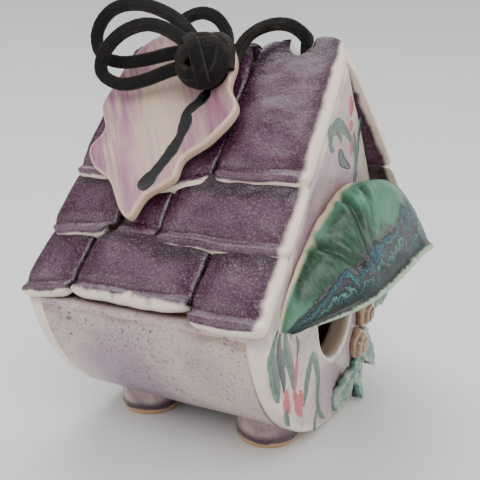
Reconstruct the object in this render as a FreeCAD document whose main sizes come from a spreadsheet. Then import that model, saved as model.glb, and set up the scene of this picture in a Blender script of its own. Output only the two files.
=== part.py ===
"""Hand-built ceramic birdhouse with a shingled gable roof, a ruffled hood over its entrance,
a leather hanging lace tied in a looped knot, and a ceramic tag on the lace.

Frame: +Z up, the front plate faces -Y, +X is to the right of someone who stands at the front.
The origin is on the floor, in the middle of the whole house's footprint, hood and stopper included.
Lengths are in millimetres and angles in degrees.
"""
import FreeCAD
import Part
import Sketcher
import math
import os

DOC = FreeCAD.newDocument("Birdhouse")
V = FreeCAD.Vector

# ---------------------------------------------------------------- driving dimensions
SIZES = {
    # house as a whole
    "front_face": -33.0,        # y of the front plate's outer face
    "back_face": 57.0,          # y of the back plate's outer face
    "eave_reach": 2.8,          # from the round body's side out to each eave
    "eave_drop": 10.6,          # from the round body's centre line down to the eaves
    "roof_rise": 82.6,          # from the eaves up to the ridge
    # clay thicknesses
    "plate_thickness": 7.0,
    "slab_thickness": 4.5,
    "bowl_wall": 6.0,
    "shingle_head": 1.6,
    "shingle_lip": 3.8,
    "shingle_bed": 3.6,         # depth of the shingles' bed below the roof's top plane
    "shingle_gap": 0.3,
    # round lower body
    "bowl_radius": 64.8,
    "bowl_bottom": 2.6,         # z of the round body's lowest line
    "drain_radius": 3.0,
    "drain_spacing": 22.0,
    # shingle courses: what shows of the lower two, and how far the last reaches past the wall
    "middle_exposure": 24.5,
    "eave_exposure": 24.0,
    "eave_overhang": 0.4,
    # entrance and clean-out
    "entrance_radius": 20.0,
    "entrance_x": -2.0,
    "entrance_drop": 18.4,      # from the round body's centre line down to the entrance's centre
    "cleanout_radius": 16.0,
    "cleanout_drop": 26.4,
    # feet
    "foot_radius": 11.5,
    "foot_round": 2.0,
    "foot_x": 20.0,
    "foot_y": 26.0,
    # hood
    "hood_inset": 10.8,         # from the round body's side in to each end of the hood
    "hood_foot": 6.0,           # from the entrance's centre up to the hood's two ends
    "hood_rise": 34.0,
    "hood_root": 3.0,           # how far the lip's two ends stand off the plate
    "hood_reach": 29.0,
    "hood_lip_rise": 15.0,
    "hood_thickness": 4.0,
    # relief sprig
    "sprig_inset": 14.8,        # from the round body's edge in to the sprig's outer side
    "rose_radius": 5.6,
    "rose_depth": 6.0,
    "leaf_length": 15.0,
    "leaf_half_width": 3.6,
    "leaf_depth": 4.5,
    # stopper
    "stopper_clearance": 0.4,
    "stopper_taper": 1.0,
    "stopper_length": 11.0,
    "stopper_rim": 3.0,
    "stopper_head": 5.0,
    # hanging lace, knot and tag
    "lace_diameter": 4.0,
    "lace_hole_radius": 4.5,
    "lace_hole_inset": 15.0,    # from each end face to the ridge hole's middle
    "knot_radius": 9.6,
    "knot_depth": 7.2,
    "knot_neck_radius": 4.0,
    "knot_neck": 13.5,
    "tag_thickness": 4.0,
    "tag_hole_radius": 5.5,
}

# Knot centre, and the tag's tilt: the tag rests on the left slope and leans off it at the top.
KNOT_Y = 8.3
KNOT_ALONG = 22.1               # distance down the slope from the ridge
KNOT_OUT = 16.8                 # height above the shingles
TAG_TOP_LIFT = 11.0
TAG_LOW_LIFT = 4.5
TAG_SPAN = 78.0

# Outline of the tag, as (y, distance down the tag) of its waves, anticlockwise from the top.
TAG_OUTLINE = [(14, 2.9), (25, 1.2), (38, 4), (45, 13), (48.5, 24), (50.4, 34), (45.4, 43.5), (48.6, 51.5), (44, 58.5),
               (35, 63.7), (27, 73.5), (21.8, 76), (18.8, 68), (10.5, 61), (9.2, 53.5), (1.2, 46), (-4.8, 34.5),
               (0.2, 25.5), (1, 15), (6.5, 6.5)]

# Route of each lace: corner points that the tubes round off.
LACE_FRONT = [(0, -18, 141), (-1, -14.5, 145), (-2, -8, 146.5), (-2.5, -1, 145.2), (-3.5, 4.5, 141.5),
              (-8, 6, 134.6), (-13.5, 6, 127.6)]
LACE_REAR = [(0, 42, 141), (0.5, 39, 146), (1, 33, 150), (1, 25.5, 152.5), (0.5, 18, 150.5), (-1, 12.5, 144.5),
             (-4.8, 10.6, 138.6), (-9.4, 10.6, 133.2), (-13.5, 10.6, 127.6)]
LACE_INSIDE = [(0, -18, 138.5), (0, -18, 128.5), (0, -12, 119.5), (0, 0, 116), (0, 12, 115.2), (0, 24, 116),
               (0, 36, 119.5), (0, 42, 128.5), (0, 42, 138.5)]
LOOP_OUTER = [(-25, 11, 138), (-23, 15, 142.5), (-20, 24, 149), (-19, 38, 154), (-19, 51, 153), (-20, 58, 145),
              (-22, 55, 136), (-24, 44, 133), (-24.5, 32, 134), (-26, 20, 136), (-27.5, 12, 136)]
LOOP_INNER = [(-30, 11, 137.5), (-29, 16.5, 141.5), (-28.5, 28, 146), (-29, 40, 143), (-29, 48, 136),
              (-29.5, 49, 129), (-29.5, 40, 125), (-29, 29, 127), (-29, 20, 130), (-29, 13, 131.5)]

# Shingles: (name, distances of its two ends behind the front face, courses above and below its
# visible part). None as a distance means the back face.
SHINGLES_LEFT = [
    ("shingle_left_top_front", 0, 33.5, 0, 1), ("shingle_left_top_middle", 33.5, 60.0, 0, 1),
    ("shingle_left_top_rear", 60.0, None, 0, 1), ("shingle_left_middle_front", 0, 46.3, 1, 2),
    ("shingle_left_middle_inner", 46.3, 63.0, 1, 2), ("shingle_left_middle_rear", 63.0, None, 1, 2),
    ("shingle_left_eave_front", 0, 25.5, 2, 3), ("shingle_left_eave_middle", 25.5, 70.2, 2, 3),
    ("shingle_left_eave_rear", 70.2, None, 2, 3)]
SHINGLES_RIGHT = [
    ("shingle_right_top_front", 0, 30.0, 0, 1), ("shingle_right_top_middle", 30.0, 57.0, 0, 1),
    ("shingle_right_top_rear", 57.0, None, 0, 1), ("shingle_right_middle_front", 0, 43.0, 1, 2),
    ("shingle_right_middle_inner", 43.0, 65.0, 1, 2), ("shingle_right_middle_rear", 65.0, None, 1, 2),
    ("shingle_right_eave_front", 0, 29.0, 2, 3), ("shingle_right_eave_middle", 29.0, 63.0, 2, 3),
    ("shingle_right_eave_rear", 63.0, None, 2, 3)]

# Sprig on the right of the entrance: (name, angle round the entrance, offset from the roses' ring, lean).
ROSES = [("rose_upper", -2.0, 0.0), ("rose_middle", -24.0, 0.0), ("rose_lower", -46.0, 0.0)]
LEAVES = [("leaf_upper", 1.0, 6.5, -3.0), ("leaf_outer", -13.0, 8.0, -5.0), ("leaf_middle", -35.0, 4.0, -75.0),
          ("leaf_lower", -49.0, 6.9, -120.0), ("leaf_tail", -73.0, -2.0, -130.0)]

# How full the hood's arch is, and how its lip swings forward and rises, as powers.
ARCH_POWER = 1.65
LIP_POWER = 2.6
RISE_POWER = 1.4

BOWL_CENTRE = "(Sizes.bowl_bottom + Sizes.bowl_radius)"
RUN = "(Sizes.bowl_radius + Sizes.eave_reach)"
RISE = "Sizes.roof_rise"
SLOPE = "sqrt({0} * {0} + {1} * {1})".format(RUN, RISE)
RIDGE = "(%s - Sizes.eave_drop + Sizes.roof_rise)" % BOWL_CENTRE
ENTRANCE = ("Sizes.entrance_x", "(%s - Sizes.entrance_drop)" % BOWL_CENTRE)
CLEANOUT = ("0", "(%s - Sizes.cleanout_drop)" % BOWL_CENTRE)
FRONT_INNER = "(Sizes.front_face + Sizes.plate_thickness)"
BACK_INNER = "(Sizes.back_face - Sizes.plate_thickness)"
SPRIG_RING = "(Sizes.entrance_radius + Sizes.bowl_radius - Sizes.sprig_inset) / 2"
MIDDLE = "(Sizes.front_face + Sizes.back_face) / 2"
BED = "-Sizes.shingle_bed"


# ---------------------------------------------------------------- document helpers
def make_sheet():
    """Put every driving dimension in a cell of its own, with an alias."""
    sheet = DOC.addObject("Spreadsheet::Sheet", "Sizes")
    for row, (name, value) in enumerate(SIZES.items(), start=1):
        sheet.set("A%d" % row, name)
        sheet.set("B%d" % row, "%r" % value)
        sheet.setAlias("B%d" % row, name)
    DOC.recompute()
    return sheet


SHEET = make_sheet()


def size(expression):
    """Value of an expression on the sheet's cells."""
    return float(SHEET.evalExpression(expression))


def origin_plane(body, role):
    """Origin plane of a body, found by its role."""
    return next(item for item in body.Origin.OriginFeatures if item.Role == role)


def new_body(name):
    """PartDesign body whose label is its node's name."""
    body = DOC.addObject("PartDesign::Body", name)
    body.Label = name
    return body


def new_sketch(body, role, name, offset="0"):
    """Sketch on an origin plane of its own body, moved along the plane's normal."""
    sketch = body.newObject("Sketcher::SketchObject", name)
    sketch.AttachmentSupport = (origin_plane(body, role), [""])
    sketch.MapMode = "FlatFace"
    sketch.setExpression("AttachmentOffset.Base.z", offset)
    return sketch


def bind(sketch, kind, where, expression):
    """Add a dimension to a sketch and drive it from the sheet."""
    index = sketch.addConstraint(Sketcher.Constraint(kind, *where, size(expression)))
    sketch.setExpression("Constraints[%d]" % index, expression)


def place_point(sketch, line, end, point):
    """Fix one end of a line by its two coordinates."""
    bind(sketch, "DistanceX", (line, end), point[0])
    bind(sketch, "DistanceY", (line, end), point[1])


def add_polygon(sketch, points):
    """Closed polygon whose corners are pairs of expressions."""
    corners = [V(size(across), size(up), 0) for across, up in points]
    for index, corner in enumerate(corners):
        following = corners[(index + 1) % len(corners)]
        sketch.addGeometry(Part.LineSegment(corner, following), False)
    for index, point in enumerate(points):
        following = (index + 1) % len(points)
        sketch.addConstraint(Sketcher.Constraint("Coincident", index, 2, following, 1))
        place_point(sketch, index, 1, point)


def add_circle(sketch, centre, radius):
    """Circle with its centre and radius bound to the sheet."""
    circle = Part.Circle(V(size(centre[0]), size(centre[1]), 0), V(0, 0, 1), size(radius))
    index = sketch.addGeometry(circle, False)
    bind(sketch, "DistanceX", (index, 3), centre[0])
    bind(sketch, "DistanceY", (index, 3), centre[1])
    bind(sketch, "Radius", (index,), radius)


def pad_along_y(body, sketch, start, end):
    """Pad a sketch that stands at y = end, towards y = start."""
    pad = body.newObject("PartDesign::Pad", body.Name + "_pad")
    pad.Profile = sketch
    pad.setExpression("Length", "(%s) - (%s)" % (end, start))
    body.Tip = pad
    sketch.Visibility = False
    return pad


def pocket_through(body, sketch):
    """Cut a sketch's outline right through a body, both ways."""
    pocket = body.newObject("PartDesign::Pocket", sketch.Name + "_cut")
    pocket.Profile = sketch
    pocket.Type = "ThroughAll"
    pocket.Midplane = True
    body.Tip = pocket
    return pocket


def slope_point(side, along, out):
    """Expressions for x and z of a point on a roof slope.

    side is -1 for the left slope and 1 for the right one, along is the distance down the
    slope from the ridge, and out is the height above the roof's top plane.
    """
    across = "{0} * (({1}) * {2} + ({3}) * {4}) / {5}".format(side, along, RUN, out, RISE, SLOPE)
    up = "{0} + (({3}) * {2} - ({1}) * {4}) / {5}".format(RIDGE, along, RUN, out, RISE, SLOPE)
    return across, up


def ridge_along(out):
    """Distance down the slope at which a plane 'out' above the roof crosses the middle, x = 0."""
    return "-({0}) * {1} / {2}".format(out, RISE, RUN)


def circle_along(out, radius):
    """Distance down the slope at which a plane 'out' above the roof meets the round body."""
    drop = "(%s - %s)" % (RIDGE, BOWL_CENTRE)
    far = "({0} * {1} / {2})".format(drop, RISE, SLOPE)
    off = "({0} * {1} / {2} + ({3}))".format(drop, RUN, SLOPE, out)
    return "{0} + sqrt(({1}) * ({1}) - {2} * {2})".format(far, radius, off)


WALL_TOP = circle_along(BED, "Sizes.bowl_radius")
EAVE = "(%s + Sizes.eave_overhang)" % WALL_TOP
MIDDLE_LIP = "(%s - Sizes.eave_exposure)" % EAVE
TOP_LIP = "(%s - Sizes.middle_exposure)" % MIDDLE_LIP
COURSES = ("0", TOP_LIP, MIDDLE_LIP, EAVE)


# ---------------------------------------------------------------- fired-clay shell
def add_bowl_arc(sketch, index, radius, left, right):
    """Arc of the round body through its lowest point, from the left end to the right end."""
    centre_height = size(BOWL_CENTRE)
    start = math.atan2(size(left[1]) - centre_height, size(left[0]))
    finish = math.atan2(size(right[1]) - centre_height, size(right[0]))
    circle = Part.Circle(V(0, centre_height, 0), V(0, 0, 1), size(radius))
    sketch.addGeometry(Part.ArcOfCircle(circle, start, finish), False)
    bind(sketch, "DistanceX", (index, 3), "0")
    bind(sketch, "DistanceY", (index, 3), BOWL_CENTRE)
    bind(sketch, "Radius", (index,), radius)


def add_gable_outline(sketch):
    """Gable on top of a round bottom: one arc and the two slopes under the shingles."""
    left = slope_point(-1, WALL_TOP, BED)
    right = slope_point(1, WALL_TOP, BED)
    apex = slope_point(1, ridge_along(BED), BED)
    add_bowl_arc(sketch, 0, "Sizes.bowl_radius", left, right)
    corners = [V(size(x), size(z), 0) for x, z in (right, apex, left)]
    sketch.addGeometry(Part.LineSegment(corners[0], corners[1]), False)
    sketch.addGeometry(Part.LineSegment(corners[1], corners[2]), False)
    for first, second in (((0, 2), (1, 1)), ((1, 2), (2, 1)), ((2, 2), (0, 1))):
        sketch.addConstraint(Sketcher.Constraint("Coincident", *first, *second))
    place_point(sketch, 1, 2, ("0", apex[1]))
    bind(sketch, "DistanceX", (1, 1), right[0])
    bind(sketch, "DistanceX", (2, 2), left[0])


def make_plate(name, start, end, hole_centre, hole_radius):
    """End plate of the house with one round hole."""
    body = new_body(name)
    outline = new_sketch(body, "XZ_Plane", name + "_outline", "-(%s)" % end)
    add_gable_outline(outline)
    pad_along_y(body, outline, start, end)
    hole = new_sketch(body, "XZ_Plane", name + "_hole")
    add_circle(hole, hole_centre, hole_radius)
    pocket_through(body, hole)
    return body


def make_bowl():
    """Round lower body between the two plates, with drain holes along its bottom."""
    body = new_body("round_body")
    sketch = new_sketch(body, "XZ_Plane", "round_body_profile", "-" + BACK_INNER)
    inner = "Sizes.bowl_radius - Sizes.bowl_wall"
    rims = [[slope_point(side, circle_along(BED, radius), BED) for radius in ("Sizes.bowl_radius", inner)]
            for side in (-1, 1)]
    add_bowl_arc(sketch, 0, "Sizes.bowl_radius", rims[0][0], rims[1][0])
    add_bowl_arc(sketch, 1, inner, rims[0][1], rims[1][1])
    for outer_end, inner_end in rims:
        ends = [V(size(x), size(z), 0) for x, z in (outer_end, inner_end)]
        sketch.addGeometry(Part.LineSegment(*ends), False)
    joins = (((2, 1), (0, 1)), ((2, 2), (1, 1)), ((3, 1), (0, 2)), ((3, 2), (1, 2)))
    for first, second in joins:
        sketch.addConstraint(Sketcher.Constraint("Coincident", *first, *second))
    for line, (outer_end, inner_end) in ((2, rims[0]), (3, rims[1])):
        bind(sketch, "DistanceX", (line, 1), outer_end[0])
        bind(sketch, "DistanceX", (line, 2), inner_end[0])
    pad_along_y(body, sketch, FRONT_INNER, BACK_INNER)
    drains = new_sketch(body, "XY_Plane", "drain_holes")
    for step in (-1, 0, 1):
        add_circle(drains, ("0", "%s + %d * Sizes.drain_spacing" % (MIDDLE, step)), "Sizes.drain_radius")
    pocket_through(body, drains)
    return body


def make_roof_slab(name, side):
    """Flat clay slab under the shingles, from the ridge to the round body's inner face."""
    body = new_body(name)
    sketch = new_sketch(body, "XZ_Plane", name + "_profile", "-" + BACK_INNER)
    under = "-(Sizes.shingle_bed + Sizes.slab_thickness)"
    inner = "Sizes.bowl_radius - Sizes.bowl_wall"
    top = slope_point(side, ridge_along(BED), BED)
    low = slope_point(side, ridge_along(under), under)
    outer_end = slope_point(side, circle_along(BED, inner), BED)
    under_end = slope_point(side, circle_along(under, inner), under)
    points = [V(size(x), size(z), 0) for x, z in (top, outer_end, under_end, low)]
    centre_height = size(BOWL_CENTRE)
    angles = sorted(math.atan2(point.y - centre_height, point.x) % math.tau for point in points[1:3])
    circle = Part.Circle(V(0, centre_height, 0), V(0, 0, 1), size(inner))
    sketch.addGeometry(Part.LineSegment(points[0], points[1]), False)
    sketch.addGeometry(Part.ArcOfCircle(circle, *angles), False)
    sketch.addGeometry(Part.LineSegment(points[2], points[3]), False)
    sketch.addGeometry(Part.LineSegment(points[3], points[0]), False)
    first, last = (1, 2) if side < 0 else (2, 1)
    for one, other in (((0, 2), (1, first)), ((1, last), (2, 1)), ((2, 2), (3, 1)), ((3, 2), (0, 1))):
        sketch.addConstraint(Sketcher.Constraint("Coincident", *one, *other))
    place_point(sketch, 0, 1, ("0", top[1]))
    place_point(sketch, 2, 2, ("0", low[1]))
    bind(sketch, "DistanceX", (0, 2), outer_end[0])
    bind(sketch, "DistanceX", (2, 1), under_end[0])
    bind(sketch, "DistanceX", (1, 3), "0")
    bind(sketch, "DistanceY", (1, 3), BOWL_CENTRE)
    pad_along_y(body, sketch, FRONT_INNER, BACK_INNER)
    cut_lace_holes(body)
    return body


def cut_lace_holes(body):
    """Two upright holes on the ridge line, for the hanging lace."""
    sketch = new_sketch(body, "XY_Plane", body.Name + "_lace_holes")
    for place in ("Sizes.front_face + Sizes.lace_hole_inset", "Sizes.back_face - Sizes.lace_hole_inset"):
        add_circle(sketch, ("0", place), "Sizes.lace_hole_radius")
    pocket_through(body, sketch)


def shingle_edge(distance, sign):
    """Expression for a shingle's end: a house face, or a joint with half the gap taken off."""
    if distance == 0:
        return "Sizes.front_face"
    if distance is None:
        return "Sizes.back_face"
    return "Sizes.front_face + %r + %d * Sizes.shingle_gap / 2" % (distance, sign)


def make_shingle(name, side, start, end, upper, lower):
    """One clay shingle: thin at its head and thick at its lip."""
    body = new_body(name)
    first = shingle_edge(start, 1)
    last = shingle_edge(end, -1)
    sketch = new_sketch(body, "XZ_Plane", name + "_profile", "-(%s)" % last)
    head_out = "0" if upper == 0 else "-Sizes.shingle_bed + Sizes.shingle_head"
    head_bed = ridge_along(BED) if upper == 0 else COURSES[upper]
    lip = COURSES[lower] if lower == 3 else COURSES[lower] + " - Sizes.shingle_gap"
    corners = [slope_point(side, head_bed, BED), slope_point(side, lip, BED),
               slope_point(side, lip, "Sizes.shingle_lip - Sizes.shingle_bed"),
               slope_point(side, COURSES[upper], head_out)]
    add_polygon(sketch, corners)
    pad_along_y(body, sketch, first, last)
    if upper == 0 and "middle" not in name:
        cut_lace_holes(body)
    return body


def foot_top():
    """Expression for a height that clears the round body over a foot's outer edge."""
    return "{0} - sqrt({1} * {1} - ({2}) * ({2})) + 1".format(
        BOWL_CENTRE, "Sizes.bowl_radius", "Sizes.foot_x + Sizes.foot_radius")


def make_foot(name, side, end):
    """Round foot, hollowed on top where it meets the round body."""
    pad = DOC.addObject("Part::Cylinder", name + "_pad")
    pad.setExpression("Radius", "Sizes.foot_radius")
    pad.setExpression("Height", foot_top())
    pad.setExpression("Placement.Base.x", "%d * Sizes.foot_x" % side)
    pad.setExpression("Placement.Base.y", "%s + %d * Sizes.foot_y" % (MIDDLE, end))
    rounded = DOC.addObject("Part::Fillet", name + "_rounded")
    rounded.Base = pad
    DOC.recompute()
    low = [number + 1 for number, edge in enumerate(pad.Shape.Edges)
           if edge.BoundBox.ZMax < 0.01 and edge.Length > size("Sizes.foot_radius")]
    rounding = size("Sizes.foot_round")
    rounded.Edges = [(number, rounding, rounding) for number in low]
    tool = DOC.addObject("Part::Cylinder", name + "_bowl")
    tool.setExpression("Radius", "Sizes.bowl_radius")
    tool.setExpression("Height", "Sizes.back_face - Sizes.front_face")
    tool.Placement = FreeCAD.Placement(V(0, 0, 0), FreeCAD.Rotation(V(1, 0, 0), -90))
    tool.setExpression("Placement.Base.y", "Sizes.front_face")
    tool.setExpression("Placement.Base.z", BOWL_CENTRE)
    foot = DOC.addObject("Part::Cut", name)
    foot.Base = rounded
    foot.Tool = tool
    foot.Label = name
    return foot


# ---------------------------------------------------------------- hood and relief
def hood_section(turn):
    """Four corners of the hood's section at a turn from -90 to 90 degrees round its arch."""
    sine = math.sin(math.radians(turn))
    cosine = math.cos(math.radians(turn))
    half_width = size("Sizes.bowl_radius - Sizes.hood_inset")
    foot = size(ENTRANCE[1] + " + Sizes.hood_foot")
    face = size("Sizes.front_face")
    root = size("Sizes.hood_root")
    arch_x = math.copysign(abs(sine) ** (2 / ARCH_POWER), sine) * half_width
    arch_z = foot + size("Sizes.hood_rise") * abs(cosine) ** (2 / ARCH_POWER)
    lip_x = half_width * sine
    lip_y = face - root - (size("Sizes.hood_reach") - root) * (1 - abs(sine) ** LIP_POWER)
    lip_z = foot + size("Sizes.hood_lip_rise") * (1 - abs(sine) ** RISE_POWER)
    inward = V(-sine, 0, -cosine) * size("Sizes.hood_thickness")
    arch = V(arch_x, face, arch_z)
    lip = V(lip_x, lip_y, lip_z)
    return Part.makePolygon([arch, lip, lip + inward, arch + inward, arch])


def make_hood():
    """Clay hood over the entrance: an arched root on the plate and a lip that swings forward."""
    sections = [hood_section(turn) for turn in range(-90, 91, 12)]
    hood = DOC.addObject("Part::Feature", "hood")
    hood.Label = "hood"
    hood.Shape = Part.makeLoft(sections, True, True)
    return hood


def sprig_place(turn, offset):
    """Point on the front plate at an angle round the entrance, near the ring of the roses."""
    distance = "(%s + %r)" % (SPRIG_RING, offset)
    across = "%s + %s * cos(%r deg)" % (ENTRANCE[0], distance, turn)
    up = "%s + %s * sin(%r deg)" % (ENTRANCE[1], distance, turn)
    return across, up


def make_rose(name, turn, offset):
    """Relief rose: a rolled bud with one groove between its two petals' rims."""
    body = new_body(name)
    sketch = new_sketch(body, "XY_Plane", name + "_profile")
    radius = "Sizes.rose_radius"
    depth = "Sizes.rose_depth"
    profile = [("0", "0"), (radius, "0"), (radius, "-0.55 * " + depth), ("0.8 * " + radius, "-0.8 * " + depth),
               ("0.6 * " + radius, "-0.6 * " + depth), ("0.35 * " + radius, "-" + depth), ("0", "-0.8 * " + depth)]
    add_polygon(sketch, profile)
    turned = body.newObject("PartDesign::Revolution", name + "_turned")
    turned.Profile = sketch
    turned.ReferenceAxis = (sketch, ["V_Axis"])
    turned.Angle = 360
    body.Tip = turned
    across, up = sprig_place(turn, offset)
    body.setExpression("Placement.Base.x", across)
    body.setExpression("Placement.Base.y", "Sizes.front_face")
    body.setExpression("Placement.Base.z", up)
    return body


def make_leaf(name, turn, offset, lean):
    """Relief leaf: a pointed oval that stands on the front plate."""
    body = new_body(name)
    sketch = new_sketch(body, "XZ_Plane", name + "_outline")
    length = "Sizes.leaf_length"
    half = "Sizes.leaf_half_width"
    points = [("0", "0"), ("0.35 * " + length, "-" + half), ("0.7 * " + length, "-0.7 * " + half), (length, "0"),
              ("0.7 * " + length, "0.7 * " + half), ("0.35 * " + length, half)]
    add_polygon(sketch, points)
    pad_along_y(body, sketch, "-Sizes.leaf_depth", "0")
    across, up = sprig_place(turn, offset)
    body.Placement = FreeCAD.Placement(V(0, 0, 0), FreeCAD.Rotation(V(0, 1, 0), -lean))
    body.setExpression("Placement.Base.x", across)
    body.setExpression("Placement.Base.y", "Sizes.front_face")
    body.setExpression("Placement.Base.z", up)
    return body


def make_stopper():
    """Tapered clean-out stopper with a wider head behind the back plate."""
    plug = DOC.addObject("Part::Cone", "stopper_plug")
    plug.setExpression("Radius1", "Sizes.cleanout_radius - Sizes.stopper_clearance - Sizes.stopper_taper")
    plug.setExpression("Radius2", "Sizes.cleanout_radius - Sizes.stopper_clearance")
    plug.setExpression("Height", "Sizes.stopper_length")
    head = DOC.addObject("Part::Cylinder", "stopper_head")
    head.setExpression("Radius", "Sizes.cleanout_radius + Sizes.stopper_rim")
    head.setExpression("Height", "Sizes.stopper_head")
    towards_back = FreeCAD.Rotation(V(1, 0, 0), -90)
    for piece, place in ((plug, "Sizes.back_face - Sizes.stopper_length"), (head, "Sizes.back_face")):
        piece.Placement = FreeCAD.Placement(V(0, 0, 0), towards_back)
        piece.setExpression("Placement.Base.y", place)
        piece.setExpression("Placement.Base.z", CLEANOUT[1])
    stopper = DOC.addObject("Part::Fuse", "stopper")
    stopper.Base = plug
    stopper.Tool = head
    stopper.Label = "stopper"
    return stopper


# ---------------------------------------------------------------- lace, knot and tag
def slope_vector(along, out):
    """Point of the left slope in the plane y = 0."""
    across, up = slope_point(-1, repr(float(along)), repr(float(out)))
    return V(size(across), 0, size(up))


def knot_centre():
    """Middle of the knot, over the left slope."""
    return slope_vector(KNOT_ALONG, KNOT_OUT) + V(0, KNOT_Y, 0)


def tag_frame():
    """Zero point, downward direction and outward normal of the tag's upper face."""
    zero = slope_vector(0, TAG_TOP_LIFT)
    low = slope_vector(TAG_SPAN, TAG_LOW_LIFT)
    down = (low - zero).normalize()
    return zero, down, V(0, 1, 0).cross(down).normalize()


def rounded_route(points):
    """Wire of straight runs joined by tangent arcs, with the arcs' radii."""
    corners = [V(*point) for point in points]
    edges = []
    radii = []
    start = corners[0]
    for before, corner, after in zip(corners, corners[1:], corners[2:]):
        arrive = (corner - before).normalize()
        leave = (after - corner).normalize()
        turn = arrive.getAngle(leave)
        setback = 0.45 * min((corner - before).Length, (after - corner).Length)
        radius = setback / math.tan(turn / 2)
        first = corner - arrive * setback
        last = corner + leave * setback
        middle_way = (leave - arrive).normalize()
        middle = corner + middle_way * (radius / math.cos(turn / 2) - radius)
        edges.append(Part.LineSegment(start, first).toShape())
        edges.append(Part.Arc(first, middle, last).toShape())
        radii.append(radius)
        start = last
    edges.append(Part.LineSegment(start, corners[-1]).toShape())
    return Part.Wire(edges), radii


def make_lace(name, points):
    """Round tube of the lace along its route."""
    path, radii = rounded_route(points)
    radius = size("Sizes.lace_diameter") / 2
    start = path.Edges[0]
    section = Part.Wire(Part.makeCircle(radius, start.Vertexes[0].Point, start.tangentAt(start.FirstParameter)))
    tube = path.makePipeShell([section], True, False)
    lace = DOC.addObject("Part::Feature", name)
    lace.Label = name
    lace.Shape = tube
    expected = math.pi * radius * radius * path.Length
    print("%s: length %.1f, radii %s, volume ratio %.3f" % (
        name, path.Length, " ".join("%.0f" % value for value in radii), tube.Volume / expected))
    return lace


def make_knot():
    """Outer shape of the knot, with the neck that passes through the tag's hole."""
    centre = knot_centre()
    normal = tag_frame()[2]
    turn = FreeCAD.Rotation(V(0, 0, 1), normal)
    ball = DOC.addObject("Part::Ellipsoid", "knot_ball")
    ball.setExpression("Radius1", "Sizes.knot_depth")
    ball.setExpression("Radius2", "Sizes.knot_radius")
    ball.setExpression("Radius3", "Sizes.knot_radius")
    ball.Placement = FreeCAD.Placement(centre, turn)
    neck = DOC.addObject("Part::Cylinder", "knot_neck_core")
    neck.setExpression("Radius", "Sizes.knot_neck_radius")
    neck.setExpression("Height", "Sizes.knot_neck")
    neck.Placement = FreeCAD.Placement(centre - normal * size("Sizes.knot_neck"), turn)
    knot = DOC.addObject("Part::Fuse", "knot")
    knot.Base = ball
    knot.Tool = neck
    knot.Label = "knot"
    return knot


def make_tag():
    """Wavy-edged clay tag that leans on the left slope, with a hole for the lace."""
    zero, down, normal = tag_frame()
    outline = [zero + V(0, across, 0) + down * along for across, along in TAG_OUTLINE]
    edge = Part.BSplineCurve()
    edge.interpolate(outline, PeriodicFlag=True)
    face = Part.Face(Part.Wire(edge.toShape()))
    plaque = face.extrude(normal * -size("Sizes.tag_thickness"))
    centre = zero + V(0, KNOT_Y, 0) + down * down.dot(knot_centre() - zero)
    hole = Part.makeCylinder(size("Sizes.tag_hole_radius"), 3 * size("Sizes.tag_thickness"),
                             centre - normal * (2 * size("Sizes.tag_thickness")), normal)
    tag = DOC.addObject("Part::Feature", "tag")
    tag.Label = "tag"
    tag.Shape = plaque.cut(hole)
    print("tag hole centre %s normal %s" % (centre - normal * (size("Sizes.tag_thickness") / 2), normal))
    return tag


# ---------------------------------------------------------------- whole object
def build_all():
    """Build every node and return them in order."""
    nodes = [
        make_plate("front_plate", "Sizes.front_face", FRONT_INNER, ENTRANCE, "Sizes.entrance_radius"),
        make_plate("back_plate", BACK_INNER, "Sizes.back_face", CLEANOUT, "Sizes.cleanout_radius"),
        make_bowl(),
        make_roof_slab("roof_slab_left", -1),
        make_roof_slab("roof_slab_right", 1),
    ]
    nodes += [make_shingle(name, -1, *rest) for name, *rest in SHINGLES_LEFT]
    nodes += [make_shingle(name, 1, *rest) for name, *rest in SHINGLES_RIGHT]
    for end_name, end in (("front", -1), ("rear", 1)):
        for side_name, side in (("left", -1), ("right", 1)):
            nodes.append(make_foot("foot_%s_%s" % (end_name, side_name), side, end))
    nodes.append(make_hood())
    nodes += [make_rose(*values) for values in ROSES]
    nodes += [make_leaf(*values) for values in LEAVES]
    nodes.append(make_stopper())
    nodes += [make_knot(), make_tag()]
    nodes += [make_lace("lace_front", LACE_FRONT), make_lace("lace_rear", LACE_REAR),
              make_lace("lace_inside", LACE_INSIDE), make_lace("loop_outer", LOOP_OUTER),
              make_lace("loop_inner", LOOP_INNER)]
    DOC.recompute()
    return nodes


def check_all(nodes):
    """Stop if any object failed or any node's shape is empty or not valid."""
    for item in DOC.Objects:
        bad = [state for state in item.State if state in ("Invalid", "Error")]
        if bad:
            raise RuntimeError("%s is %s" % (item.Name, bad))
    for node in nodes:
        shape = node.Shape
        if shape.isNull() or not shape.isValid() or shape.Volume <= 0:
            raise RuntimeError("%s has no valid shape" % node.Label)


def export_all(nodes):
    """Write each node to its own STEP file."""
    os.makedirs("parts", exist_ok=True)
    for node in nodes:
        node.Shape.exportStep("parts/%s.step" % node.Label)
        box = node.Shape.BoundBox
        print("%-28s solids %d  x %.1f..%.1f  y %.1f..%.1f  z %.1f..%.1f" % (
            node.Label, len(node.Shape.Solids), box.XMin, box.XMax, box.YMin, box.YMax, box.ZMin, box.ZMax))


NODES = build_all()
check_all(NODES)
export_all(NODES)
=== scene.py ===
"""Dressed model of a hand-built ceramic birdhouse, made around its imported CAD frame.

The object has a round-bottomed clay body, two end plates, a shingled gable roof, four feet, a
ruffled hood over the entrance, a relief sprig of roses, painted flowers, and a black leather
lace that carries a glazed clay tag. Lengths are in metres: MM turns a size in millimetres into
metres. +Z is up, the front plate faces -Y.
"""
import logging
import math
from dataclasses import dataclass, field
from enum import Enum
from typing import Any, Callable, Iterable, Sequence

import bmesh
import bpy
from mathutils import Matrix, Vector, noise
from mathutils.geometry import delaunay_2d_cdt
from mathutils.kdtree import KDTree


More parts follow.
